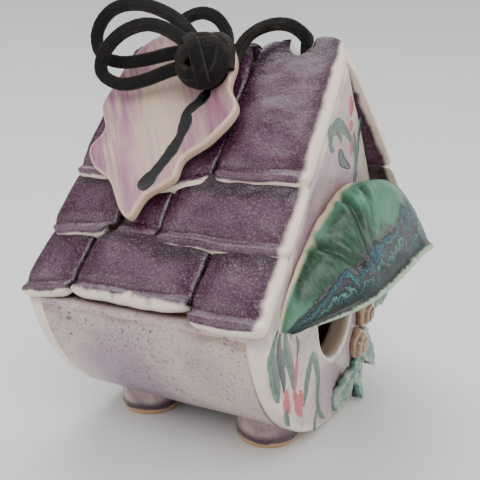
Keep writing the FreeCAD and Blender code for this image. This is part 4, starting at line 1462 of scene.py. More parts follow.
# ---------------------------------------------------------------- house
@dataclass
class House:
    """End plates, round body and feet."""

    finishes: Finishes
    front: float = field(default_factory=lambda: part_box("front_plate")[0].y)
    front_inner: float = field(default_factory=lambda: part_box("front_plate")[1].y)
    back: float = field(default_factory=lambda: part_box("back_plate")[1].y)
    back_inner: float = field(default_factory=lambda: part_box("back_plate")[0].y)
    bottom: float = field(default_factory=lambda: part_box("round_body")[0].z)
    apex: float = field(default_factory=lambda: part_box("front_plate")[1].z)
    radius: float = 64.8 * MM
    wall: float = 6.0 * MM
    entrance: tuple[float, float] = (-2.0 * MM, 49.0 * MM)
    entrance_radius: float = 20.0 * MM
    cleanout: tuple[float, float] = (0.0, 41.0 * MM)
    cleanout_radius: float = 16.0 * MM
    drain_radius: float = 3.0 * MM
    drain_spacing: float = 22.0 * MM
    lap: float = 0.4 * MM
    foot_lap: float = 0.8 * MM
    foot_profile: tuple[tuple[float, float], ...] = (
        (0.0, 0.0), (0.55, 0.0), (0.82, 0.0), (0.91, 0.02), (0.97, 0.09), (1.0, 0.2), (1.01, 0.34),
        (1.0, 0.48), (0.985, 0.62), (0.975, 0.76), (0.98, 0.9), (1.0, 1.0))

    @property
    def centre(self) -> float:
        """Height of the round body's centre line."""
        return self.bottom + self.radius

    def gable(self) -> list[tuple[float, float]]:
        """Outline of an end plate: round bottom and two slopes."""
        top = self.top_angle()
        arc = [-math.pi / 2 - (math.pi / 2 + top) + (math.pi + 2 * top) * step / 90 for step in range(91)]
        spots = [(self.radius * math.cos(turn), self.centre + self.radius * math.sin(turn)) for turn in arc]
        return even_loop([*spots, (0.0, self.apex)], 1.1 * MM)

    def top_angle(self) -> float:
        """Angle of the wall's top above the body's centre line, below zero where it is lower."""
        gap = (self.apex - self.centre) * ROOF_RUN / ROOF_SLOPE
        return math.atan2(ROOF_RUN, ROOF_RISE) - math.acos(gap / self.radius)

    def face(self, x: float, z: float) -> float:
        """How far the front plate's face stands out of its flat plane."""
        wide = 0.5 * MM * ripple(x, z, 0.0, 34 * MM, 2.0)
        small = 0.14 * MM * ripple(x, z, 0.0, 6 * MM, 5.0)
        centre_x, centre_z = self.entrance
        reach = math.hypot(x - centre_x, z - centre_z) - self.entrance_radius
        return wide + small + 0.5 * MM * (1 - smooth(reach / (5 * MM)))

    def build(self) -> None:
        """Build every piece of the house's shell."""
        self.build_plate("front_plate", self.front, self.front_inner, -1, self.entrance, self.entrance_radius)
        self.build_plate("back_plate", self.back, self.back_inner, 1, self.cleanout, self.cleanout_radius)
        self.build_body()
        for name in sorted(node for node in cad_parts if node.startswith("foot_")):
            self.build_foot(name)

    def build_plate(self, name: str, outer: float, inner: float, way: int, hole: tuple[float, float],
                    hole_radius: float) -> None:
        """Build an end plate.

        Args:
            name: the CAD node.
            outer: y of its outer face.
            inner: y of its inner face.
            way: -1 at the front and 1 at the back.
            hole: centre of its hole.
            hole_radius: the hole's radius.
        """
        shape = Plaque(self.gable(), [ring(hole, hole_radius, 90, 0.35 * MM, 4.0 + way)], 1.5 * MM, 2.2 * MM,
                       0.3 * MM)
        thickness = abs(outer - inner)

        def under_roof(x: float, z: float) -> float:
            """Distance below the roof's bed."""
            return ((self.apex - z) * ROOF_RUN - abs(x) * ROOF_RISE) / ROOF_SLOPE

        def hood_shade(x: float, z: float) -> float:
            """Distance outside the hood's root; inside it, under the hood, shade is painted on the plate."""
            if way > 0:
                return 1.0
            low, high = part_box("hood")
            half = (high.x - low.x) / 2
            power = Hood.arch_power
            arch = low.z + (high.z - low.z) * max(1 - (abs(x) / half) ** power, 0.0) ** (1 / power)
            return max(z - arch, 0.0) * 0.7 if abs(x) < half and z > low.z else 1.0

        # painted shade: distance to the shade painted under the hood and just below the roof's bed
        extra = {"painted_shade": lambda x, z: min(hood_shade(x, z), max(under_roof(x, z), 0.0) + 3 * MM),
                 "stain": lambda x, z: 5 * (math.hypot(x - hole[0], z - hole[1]) - hole_radius)}
        piece = shape.build(name + "_glazed", lambda x, z, up: Vector((x, outer + way * (up - thickness), z)),
                            lambda x, z: thickness + self.face(x, z), lambda x, z: 0.0, extra)
        self.finishes.dress(piece, "plate")
        settle(piece, Body.HOUSE, Slot.BODY, name)

    def build_body(self) -> None:
        """Build the round lower body with its drain holes."""
        top = self.top_angle()
        sweep = [math.pi - top + (math.pi + 2 * top) * share for share in eased(130, 0.05)]
        rows = []
        marks: dict[str, list[list[float]]] = {"rim": [], "stain": [], "painted_shade": []}
        for share in eased(90, 0.05):
            y = mix(self.front_inner - self.lap, self.back_inner + self.lap, share)
            row = []
            gaps = []
            for turn in sweep:
                across, up = math.cos(turn), math.sin(turn)
                bulge = 0.45 * MM * ripple(across * self.radius, y, up * self.radius, 30 * MM, 7.0)
                bulge += 0.12 * MM * ripple(across * self.radius, y, up * self.radius, 6 * MM, 8.0)
                reach = self.radius + bulge
                row.append(Vector((across * reach, y, self.centre + up * reach)))
                gaps.append(self.radius * min(turn - sweep[0], sweep[-1] - turn))
            inner = self.radius - self.wall
            row += [Vector((math.cos(turn) * inner, y, self.centre + math.sin(turn) * inner))
                    for turn in reversed(sweep)]
            rows.append(row)
            marks["stain"].append([gap if gap > 1.2 * MM else 1.0 for gap in gaps] + [1.0] * len(gaps))
            marks["rim"].append([1.0] * (2 * len(gaps)))
            marks["painted_shade"].append([1.0] * (2 * len(gaps)))
        shell = Shell()
        shell.add_grid(rows, marks, wrap_rows=False)
        count = len(rows[0])
        last = (len(rows) - 1) * count
        half = count // 2
        caps = [(step, step + 1, count - 2 - step, count - 1 - step) for step in range(half - 1)]
        shell.faces += [tuple(reversed(face)) for face in caps]
        shell.faces += [tuple(last + number for number in face) for face in caps]
        piece = shell.build("round_body_glazed")
        middle = (self.front + self.back) / 2
        holes = [(Vector((0.0, middle + step * self.drain_spacing, self.bottom)), self.drain_radius, 20 * MM)
                 for step in (-1, 0, 1)]
        cut_round_holes(piece, holes)
        self.finishes.dress(piece, "body")
        settle(piece, Body.HOUSE, Slot.BODY, "round_body")

    def build_foot(self, name: str) -> None:
        """Build one foot: a thick round pad, hollowed under the body."""
        low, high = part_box(name)
        centre = (low + high) / 2
        radius = (high.x - low.x) / 2

        def under(x: float) -> float:
            """Height of the round body's underside, which the foot laps into."""
            return self.centre - math.sqrt(self.radius ** 2 - x * x) + self.foot_lap

        rows = []
        for reach, share in curve_through(self.foot_profile, 3):
            row = []
            for turn in turns(72):
                seed = centre.x + centre.y + share
                sway = 1 + 0.03 * ripple(math.cos(turn), math.sin(turn), seed, 0.8, 6.0)
                x = centre.x + radius * reach * sway * math.cos(turn)
                row.append(Vector((x, centre.y + radius * reach * sway * math.sin(turn), under(x) * share)))
            rows.append(row)
        for reach in (0.7, 0.35, 0.0):
            row = []
            for turn in turns(72):
                x = centre.x + radius * reach * math.cos(turn)
                row.append(Vector((x, centre.y + radius * reach * math.sin(turn), under(x))))
            rows.append(row)
        shell = Shell()
        shell.add_grid(rows, {}, wrap_rows=False)
        piece = shell.build(name + "_glazed")
        merge_points(piece)
        self.finishes.dress(piece, "foot")
        settle(piece, Body.HOUSE, Slot.FOOT, name)


def merge_points(piece: bpy.types.Object) -> None:
    """Merge the points of a piece's poles and point its faces outwards."""
    grown = bmesh.new()
    grown.from_mesh(piece.data)
    bmesh.ops.remove_doubles(grown, verts=grown.verts, dist=1e-6)
    bmesh.ops.recalc_face_normals(grown, faces=grown.faces)
    grown.to_mesh(piece.data)
    grown.free()


# ---------------------------------------------------------------- hood
@dataclass
class Hood:
    """Ruffled clay hood: an arched root on the plate and a lip that swings forward to a point."""

    finishes: Finishes
    front: float = field(default_factory=lambda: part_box("front_plate")[0].y)
    half_width: float = field(default_factory=lambda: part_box("hood")[1].x)
    tip: float = field(default_factory=lambda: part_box("hood")[0].y)
    foot: float = 55.0 * MM
    arch_rise: float = 34.0 * MM
    lip_rise: float = 15.0 * MM
    root_reach: float = 3.0 * MM
    thickness: float = 4.0 * MM
    dome: float = 10.0 * MM
    arch_power: float = 1.65
    lip_power: float = 2.6
    rise_power: float = 1.4
    columns: int = 220
    rows: int = 84
    squeeze: float = 0.07
    ruffle: float = 1.1 * MM
    ruffles: float = 7.0
    lump: float = 0.9 * MM
    grain: float = 0.22 * MM
    rolled_lip: float = 1.3 * MM
    rolled_root: float = 1.2 * MM
    fold: float = 0.9 * MM
    valley: float = 1.7 * MM
    thin_from: float = 0.93
    thin_share: float = 0.55
    creases: tuple[tuple[tuple[float, float], ...], ...] = (
        ((-45.0, 0.10), (-44.5, 0.3), (-43.0, 0.45), (-40.0, 0.69)),
        ((-21.0, 0.10), (-28.5, 0.44), (-31.0, 0.6), (-33.0, 0.75)),
        ((-12.0, 0.2), (-18.0, 0.41), (-23.0, 0.55)),
        ((18.0, 0.15), (24.0, 0.45), (22.0, 0.7)),
        ((44.0, 0.12), (41.0, 0.5), (46.0, 0.75)))

    def surface(self, turn: float, down: float) -> Vector:
        """Point of the hood's plain outer surface."""
        sine = math.sin(math.radians(turn))
        cosine = abs(math.cos(math.radians(turn)))
        spread = 2 / self.arch_power
        arch = Vector((math.copysign(abs(sine) ** spread, sine) * self.half_width, self.front,
                       self.foot + self.arch_rise * cosine ** spread))
        reach = self.front - self.root_reach - self.tip
        lip = Vector((self.half_width * sine,
                      self.front - self.root_reach - reach * (1 - abs(sine) ** self.lip_power),
                      self.foot + self.lip_rise * (1 - abs(sine) ** self.rise_power)))
        swell = self.dome * math.sin(math.pi * down ** 0.8) * (cosine + 0.15 * (1 - abs(sine) ** 3))
        return arch.lerp(lip, down) + Vector((0.5 * sine, -0.3, 0.95 * cosine)) * swell

    def crease(self, turn: float, down: float) -> tuple[float, float]:
        """Depth share of the nearest crease, and of the fold that stands beside it."""
        valley = 0.0
        fold = 0.0
        for line in self.creases:
            for (turn_a, down_a), (turn_b, down_b) in zip(line, line[1:]):
                if min(down_a, down_b) - 0.1 > down or max(down_a, down_b) + 0.1 < down:
                    continue
                share = min(max((down - down_a) / (down_b - down_a), 0.0), 1.0)
                middle = mix(turn_a, turn_b, share)
                beyond = max(down_a - down, down - down_b, 0.0) * 30
                gap = (turn - middle) * 0.75
                fade = 1.0 - 0.5 * smooth((down - line[0][1]) / (line[-1][1] - line[0][1]))
                valley = max(valley, fade * math.exp(-(gap / 1.0) ** 2 - beyond * beyond))
                fold = max(fold, fade * math.exp(-((abs(gap) - 2.6) / 1.3) ** 2 - beyond * beyond))
        return valley, fold

    def build(self) -> None:
        """Build the hood with its folds and rolled lip."""
        around_turns = [-90 + 180.0 / (self.columns - 1) * index for index in range(self.columns)]
        downs = eased(self.rows, self.squeeze)
        outer: list[list[Vector]] = []
        inner: list[list[Vector]] = []
        creased: list[list[float]] = []
        for share in downs:
            row = []
            back = []
            marks = []
            thickness = self.thickness * (self.thin_share if share > self.thin_from else 1.0)
            for turn in around_turns:
                point = self.surface(turn, share)
                normal = self.normal(turn, share)
                valley, fold = self.crease(turn, share)
                still = abs(math.sin(math.radians(turn))) ** 6
                shift = math.sin(math.radians(turn) * self.ruffles + 0.6) * self.ruffle
                shift *= smooth((share - 0.45) / 0.5) * (1 - still)
                shift += self.lump * ripple(point.x, point.y, point.z, 14 * MM, 3.0)
                shift += self.grain * ripple(point.x, point.y, point.z, 3.5 * MM, 9.0)
                shift += self.rolled_lip * math.exp(-((share - 0.975) / 0.03) ** 2)
                shift += self.rolled_root * math.exp(-((share - 0.05) / 0.045) ** 2)
                shift += fold * self.fold - valley * self.valley
                row.append(point + normal * shift)
                back.append(point - normal * thickness)
                marks.append(valley)
            outer.append(row)
            inner.append(back)
            creased.append(marks)
        arounds = [-1 + 2 * index / (self.columns - 1) for index in range(self.columns)]
        rows = outer + inner[::-1]
        marks = {"down": [[share] * self.columns for share in downs + downs[::-1]],
                 "around": [arounds] * len(rows),
                 "crease": creased + [[0.0] * self.columns] * self.rows}
        shell = Shell()
        shell.add_grid(rows, marks, wrap_columns=False)
        last = self.columns - 1
        total = len(rows)
        for column, flip in ((0, False), (last, True)):
            for row in range(self.rows - 1):
                numbers = tuple(line * self.columns + column
                                for line in (row, row + 1, total - 2 - row, total - 1 - row))
                shell.faces.append(tuple(reversed(numbers)) if flip else numbers)
        piece = shell.build("hood_glazed")
        merge_points(piece)
        self.finishes.dress(piece, "hood")
        settle(piece, Body.HOUSE, Slot.HOOD, "hood")

    def normal(self, turn: float, down: float) -> Vector:
        """Outward direction of the plain surface."""
        near = 0.5
        around = self.surface(min(turn + near, 90.0), down) - self.surface(max(turn - near, -90.0), down)
        along = self.surface(turn, min(down + 0.02, 1.0)) - self.surface(turn, max(down - 0.02, 0.0))
        return along.cross(around).normalized()


# ---------------------------------------------------------------- relief sprig and brushwork
@dataclass
class Sprig:
    """Relief roses and leaves beside the entrance.

    Attributes:
        finishes: the materials.
        lap: how far a piece sinks into the plate.
        rose_sides: points round a rose.
        rose_rings: rings of a rose, from its bud to its rim.
        coils: turns of the petal strip.
        leaf_rows: rows of points along a leaf.
        leaf_half: half of a leaf's width, as a share of its length.
        leaf_grip: how much of a leaf lies behind its stem.
        leaf_growth: how much longer a leaf is than its CAD node.
    """

    finishes: Finishes
    lap: float = 0.4 * MM
    rose_sides: int = 84
    rose_rings: int = 34
    coils: float = 2.9
    leaf_rows: int = 40
    leaf_half: float = 0.36
    leaf_grip: float = 0.06
    leaf_growth: float = 1.2

    def build(self) -> None:
        """Build every rose and leaf over its CAD node."""
        for number, name in enumerate(sorted(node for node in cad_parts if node.startswith("rose_"))):
            self.build_rose(name, number)
        for number, name in enumerate(sorted(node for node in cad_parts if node.startswith("leaf_"))):
            self.build_leaf(name, number)

    def build_rose(self, name: str, number: int) -> None:
        """Build a rose: a coiled petal strip round a bud."""
        low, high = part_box(name)
        centre = (low + high) / 2
        radius = (high.x - low.x) / 2 + self.lap
        depth = high.y - low.y
        rows = []
        levels = []
        for share in [index / self.rose_rings for index in range(self.rose_rings + 1)]:
            row = []
            marks = []
            for turn in turns(self.rose_sides):
                coil = (share * self.coils - turn / math.tau + 0.2 * number) % 1.0
                petal = math.sin(math.pi * coil) ** 0.7 if share > 0.1 else 0.8
                dome = math.sqrt(max(1 - (share * 0.93) ** 2, 0.0))
                level = dome * (0.62 + 0.38 * petal)
                flutter = 1 + 0.07 * math.sin(5 * turn + number) * share
                reach = radius * share * flutter
                row.append(Vector((centre.x + reach * math.cos(turn), high.y - depth * level,
                                   centre.z + reach * math.sin(turn))))
                marks.append(petal)
            rows.append(row)
            levels.append(marks)
        rows.append([Vector((point.x, high.y + self.lap, point.z)) for point in rows[-1]])
        rows.append([Vector((centre.x, high.y + self.lap, centre.z))] * self.rose_sides)
        # the rose's base is marked lowest, so it takes the painted shade colour
        levels += [[0.0] * self.rose_sides] * 2
        shell = Shell()
        shell.add_grid(rows, {"level": levels}, wrap_rows=False)
        piece = shell.build(name + "_glazed")
        merge_points(piece)
        self.finishes.dress(piece, "rose")
        settle(piece, Body.HOUSE, Slot.ROSE, name)

    def build_leaf(self, name: str, number: int) -> None:
        """Build a pointed leaf with a midrib and side veins, its tip lifted off the plate."""
        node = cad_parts[name]
        low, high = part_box(name)
        points = [vertex.co for vertex in node.data.vertices]
        centre = (low + high) / 2
        far = max(points, key=lambda point: math.hypot(point.x - centre.x, point.z - centre.z))
        near = max(points, key=lambda point: math.hypot(point.x - far.x, point.z - far.z))
        entrance = House.entrance
        if math.dist((far.x, far.z), entrance) < math.dist((near.x, near.z), entrance) and "tail" not in name:
            far, near = near, far
        stem = Vector((near.x, high.y, near.z))
        along = Vector((far.x - near.x, 0.0, far.z - near.z))
        length = along.length
        along.normalize()
        inward = Vector((0, 1, 0))
        side = inward.cross(along)
        stem -= along * (self.leaf_grip * length)
        length *= self.leaf_growth
        half = self.leaf_half * length
        depth = high.y - low.y + 1.0 * MM
        rows = []
        levels = []
        for share in [index / self.leaf_rows for index in range(self.leaf_rows + 1)]:
            swell = max(math.sin(math.pi * min(share, 0.999) ** 0.72), 0.0) ** 0.8
            width = half * swell * (1 + 0.11 * math.sin(share * 30 + number)) + 0.05 * MM
            lift = depth * (0.2 + 0.8 * share ** 1.6) + 0.5 * MM * math.sin(share * 9 + number)
            middle = stem + along * (length * share)
            row = []
            marks = []
            for step in range(21):
                across = -1 + step / 10
                vein = abs(math.sin(math.pi * (share * 5.5 - abs(across) * 1.2)))
                ridge = math.exp(-(across / 0.16) ** 2)
                level = 0.35 + 0.4 * abs(across) + 0.35 * ridge + 0.2 * vein * (1 - ridge)
                cup = depth * 0.22 * across * across
                out = lift + cup + 0.5 * MM * ridge + 0.25 * MM * vein - 0.6 * MM * abs(across) ** 6
                row.append(middle + side * (width * across) - inward * out)
                marks.append(level)
            for step in range(21):
                across = 1 - step / 10
                under = max(lift - 1.3 * MM, 0.0) * (0.4 + 0.6 * share) * (0.5 + 0.5 * across * across)
                row.append(middle + side * (width * across * 0.96) - inward * (under - self.lap))
                # the leaf's underside is marked low, so it takes the painted shade colour
                marks.append(0.1)
            rows.append(row)
            levels.append(marks)
        shell = Shell()
        shell.add_grid(rows, {"level": levels}, wrap_rows=False, cap=True)
        piece = shell.build(name + "_glazed")
        self.finishes.dress(piece, "leaf")
        settle(piece, Body.HOUSE, Slot.LEAF, name)


@dataclass(frozen=True)
class Stroke:
    """One brush stroke: points as across, up and width in millimetres."""

    points: tuple[tuple[float, float, float], ...]


@dataclass
class Brushwork:
    """Strokes of paint, each a thin lens of glaze that lies on a surface."""

    finishes: Finishes
    strokes: dict[str, tuple[str, tuple[Stroke, ...]]] = field(default_factory=lambda: {
        "painted_stems": ("stem", (
            Stroke(((12.6, 92.0, 1.4), (12.2, 99.0, 1.9), (11.0, 105.0, 1.6), (8.5, 109.5, 1.0))),
            Stroke(((12.8, 93.5, 1.0), (14.5, 102.0, 1.8), (15.2, 109.0, 2.0), (18.5, 114.0, 1.6),
                    (23.0, 112.6, 1.2),
                    (26.0, 108.0, 1.0))),
            Stroke(((24.0, 110.0, 0.6), (30.0, 105.8, 1.2), (36.0, 102.6, 1.2), (41.0, 100.2, 0.5))),
            Stroke(((11.4, 101.0, 1.0), (5.0, 107.2, 1.7), (-2.0, 110.8, 2.4), (-9.0, 112.4, 2.9),
                    (-15.5, 109.8, 2.8),
                    (-15.6, 105.6, 1.8), (-12.5, 103.9, 0.8))),
            Stroke(((-10.5, 109.8, 0.8), (-6.0, 108.2, 1.6), (-4.4, 106.0, 0.8))),
            Stroke(((-56.0, 56.5, 1.2), (-59.2, 50.0, 2.8), (-57.0, 42.5, 3.6), (-55.2, 37.0, 3.0),
                    (-53.8, 32.5, 1.0))),
            Stroke(((-50.0, 55.5, 0.8), (-49.8, 49.0, 2.6), (-46.4, 42.5, 3.2), (-43.4, 36.0, 2.4),
                    (-43.0, 32.0, 0.8))),
            Stroke(((-41.8, 49.5, 0.5), (-40.0, 45.7, 1.4), (-40.8, 42.0, 0.5))),
            Stroke(((-48.0, 29.0, 0.8), (-47.4, 24.5, 1.8), (-45.4, 20.8, 0.8))),
            Stroke(((-33.2, 21.6, 0.8), (-31.8, 27.0, 2.8), (-30.0, 32.8, 3.0), (-27.0, 36.8, 2.4),
                    (-23.2, 33.0, 2.6),
                    (-20.6, 26.0, 2.6), (-20.4, 19.0, 2.0), (-17.6, 12.0, 1.8), (-11.4, 6.6, 0.8))),
            Stroke(((-20.2, 15.0, 0.8), (-22.0, 10.2, 1.8), (-21.0, 6.2, 0.8))))),
        "painted_blots": ("blot", (
            Stroke(((-6.8, 104.4, 1.6), (-5.0, 101.6, 3.4), (-0.6, 99.2, 2.4), (6.8, 96.8, 1.0))),
            Stroke(((12.4, 89.6, 0.9), (12.8, 92.4, 2.6), (12.5, 96.5, 1.0))),
            Stroke(((-54.0, 55.8, 0.8), (-54.6, 50.0, 2.2), (-52.6, 44.0, 2.8), (-50.6, 38.0, 1.8),
                    (-50.2, 34.0, 0.6))),
            Stroke(((-58.4, 45.0, 0.6), (-56.8, 39.0, 1.4), (-55.0, 34.8, 0.5))))),
        "painted_buds": ("bud", (
            Stroke(((4.5, 122.0, 0.8), (5.2, 118.4, 3.0), (5.6, 114.6, 1.0))),
            Stroke(((5.4, 113.8, 0.9), (5.9, 111.6, 2.6), (6.2, 109.6, 0.9))),
            Stroke(((6.2, 108.6, 0.8), (6.5, 105.2, 2.2), (6.8, 101.0, 0.7))),
            Stroke(((-40.6, 42.0, 0.7), (-40.8, 37.0, 2.0), (-41.6, 32.0, 1.6), (-42.4, 28.0, 0.7))),
            Stroke(((-48.6, 35.0, 0.8), (-48.0, 30.0, 3.0), (-45.2, 25.2, 1.4))),
            Stroke(((-41.4, 30.6, 0.7), (-38.4, 24.6, 3.0), (-34.6, 18.6, 1.2))),
            Stroke(((-37.6, 29.6, 0.6), (-35.2, 25.6, 2.0), (-33.6, 21.8, 0.7))))),
    })

    def build(self) -> None:
        """Build the strokes on the front plate."""
        house = House(self.finishes)

        def on_plate(x: float, z: float, out: float) -> Vector:
            """Point on the front plate's face."""
            return Vector((x, house.front - house.face(x, z) - out, z))

        for name, (paint, strokes) in self.strokes.items():
            piece = self.build_strokes(name, strokes, on_plate)
            self.finishes.dress(piece, paint)
            settle(piece, Body.HOUSE, Slot.BODY)

    @staticmethod
    def build_strokes(name: str, strokes: Iterable[Stroke], place: Callable[[float, float, float], Vector],
                      swell: float = 0.16 * MM) -> bpy.types.Object:
        """Make a set of strokes.

        Args:
            name: name of the object.
            strokes: the strokes, in millimetres.
            place: position of a point from its two coordinates and its height.
            swell: how thick the paint lies.

        Returns:
            The object.
        """
        shell = Shell()
        for stroke in strokes:
            line = [(x * MM, z * MM, width * MM * 0.8) for x, z, width in curve_through(stroke.points, 10)]
            rows = []
            marks = []
            for index, (x, z, half) in enumerate(line):
                before = line[max(index - 1, 0)]
                after = line[min(index + 1, len(line) - 1)]
                along = Vector((after[0] - before[0], after[1] - before[1])).normalized()
                tail = min(index, len(line) - 1 - index) / 4
                width = half * math.sqrt(min(tail, 1.0)) + 0.03 * MM
                width *= 1 + 0.16 * ripple(x, z, 0.0, 3 * MM, 12.0)
                row = []
                row_marks = []
                for face in (1, -1):
                    for step in range(9):
                        across = face * (step / 4 - 1)
                        out = swell * (1 - across * across) + 0.04 * MM if face > 0 else -0.3 * MM
                        row.append(place(x - along.y * width * across, z + along.x * width * across, out))
                        row_marks.append(abs(across) if face > 0 else 1.0)
                rows.append(row)
                marks.append(row_marks)
            shell.add_grid(rows, {"edge": marks}, wrap_rows=False, cap=True)
        return shell.build(name)


# ---------------------------------------------------------------- tag
@dataclass
class Tag:
    """Wavy-edged clay tag on the lace."""

    finishes: Finishes
    zero: Vector = field(default_factory=lambda: Vector((-8.51, 0.0, 146.36)) * MM)
    thickness: float = 4.0 * MM
    hole: tuple[float, float] = (8.3 * MM, 21.56 * MM)
    hole_radius: float = 5.5 * MM
    rim: float = 1.1 * MM
    waves: tuple[tuple[float, float], ...] = (
        (14, 2.9), (25, 1.2), (38, 4), (45, 13), (48.5, 24), (50.4, 34), (45.4, 43.5), (48.6, 51.5),
        (44, 58.5),
        (35, 63.7), (27, 73.5), (21.8, 76), (18.8, 68), (10.5, 61), (9.2, 53.5), (1.2, 46), (-4.8, 34.5),
        (0.2, 25.5), (1, 15), (6.5, 6.5))
    line: Stroke = Stroke((
        (8.5, 27.0, 2.0), (8.8, 31.0, 2.8), (12.8, 36.3, 2.3), (12.2, 41.0, 3.0), (12.6, 46.0, 2.3),
        (14.0, 51.0, 3.0), (16.4, 56.6, 2.4), (18.8, 61.7, 3.2), (21.6, 66.0, 3.4)))

    def place(self, across: float, down: float, up: float) -> Vector:
        """Position of a point of the tag."""
        return self.zero + Vector((0, across, 0)) + TAG_DOWN * down + TAG_NORMAL * up

    def build(self) -> None:
        """Build the tag and its brushed line."""
        smooth_edge = [(x * MM, z * MM) for x, z in closed_curve(self.waves, 10)]
        hole = ring(self.hole, self.hole_radius, 48, 0.1 * MM, 2.0)
        shape = Plaque(even_loop(smooth_edge, 0.9 * MM), [hole], 1.3 * MM, self.rim, self.rim)

        def face(across: float, down: float) -> float:
            """Height of the tag's upper face."""
            return 0.3 * MM * ripple(across, down, 0.0, 18 * MM, 4.0)

        piece = shape.build("tag_glazed", self.place, face, lambda across, down: -self.thickness,
                            {"across": lambda across, down: across, "down": lambda across, down: down})
        self.finishes.dress(piece, "tag")
        settle(piece, Body.TAG, Slot.TAG, "tag")

        def on_tag(across: float, down: float, up: float) -> Vector:
            """Point on the tag's upper face."""
            return self.place(across, down, face(across, down) + up)

        line = Brushwork.build_strokes("tag_brushed_line", [self.line], on_tag)
        self.finishes.dress(line, "ink")
        settle(line, Body.TAG, Slot.TAG)


def closed_curve(points: Sequence[tuple[float, float]], steps: int) -> list[tuple[float, ...]]:
    """Smooth closed row of points through control points."""
    around = [points[-1], *points, points[0], points[1]]
    whole = curve_through(around, steps)
    return whole[steps:steps + steps * len(points)]


# ---------------------------------------------------------------- stopper
@dataclass
class Stopper:
    """Cork stopper of the clean-out hole."""

    finishes: Finishes
    plug_radius: float = 15.6 * MM
    taper: float = 1.0 * MM
    head: float = 5.0 * MM

    def build(self) -> None:
        """Build the stopper as one turned shape."""
        low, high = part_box("stopper")
        centre = (low + high) / 2
        rim = (high.x - low.x) / 2
        face = high.y - self.head
        profile = [(0.0, low.y), (self.plug_radius - self.taper - 1.0 * MM, low.y),
                   (self.plug_radius - self.taper, low.y + 1.0 * MM), (self.plug_radius, face),
                   (rim - 0.8 * MM, face), (rim, face + 0.8 * MM), (rim, high.y - 1.2 * MM),
                   (rim - 1.2 * MM, high.y), (0.0, high.y)]
        dense = []
        for (reach, y), (next_reach, next_y) in zip(profile, profile[1:]):
            steps = max(2, round(math.hypot(next_reach - reach, next_y - y) / (1.2 * MM)))
            dense += [(mix(reach, next_reach, step / steps), mix(y, next_y, step / steps))
                      for step in range(steps)]
        dense.append(profile[-1])
        rows = []
        for reach, y in dense:
            row = []
            for turn in turns(80):
                pit = 0.12 * MM * ripple(reach * math.cos(turn), y, reach * math.sin(turn), 2.2 * MM, 4.0)
                wide = max(reach - abs(pit), 0.0)
                row.append(Vector((centre.x + wide * math.cos(turn), y, centre.z + wide * math.sin(turn))))
            rows.append(row)
        shell = Shell()
        shell.add_grid(rows, {}, wrap_rows=False)
        piece = shell.build("stopper_cork")
        merge_points(piece)
        self.finishes.dress(piece, "cork")
        settle(piece, Body.STOPPER, Slot.CORK, "stopper")


# ---------------------------------------------------------------- lace
@dataclass(frozen=True)
class Route:
    """One stretch of the hanging lace.

    Attributes:
        node: the CAD node that it stands for.
        points: control points of its line, in millimetres.
        faces: which way its flat side turns, at its start and at its end.
        body: body that it rides on.
        far_end: what its far end goes to; not used.
    """

    node: str
    points: tuple[tuple[float, float, float], ...]
    faces: tuple[tuple[float, float, float], tuple[float, float, float]]
    body: Body
    far_end: str


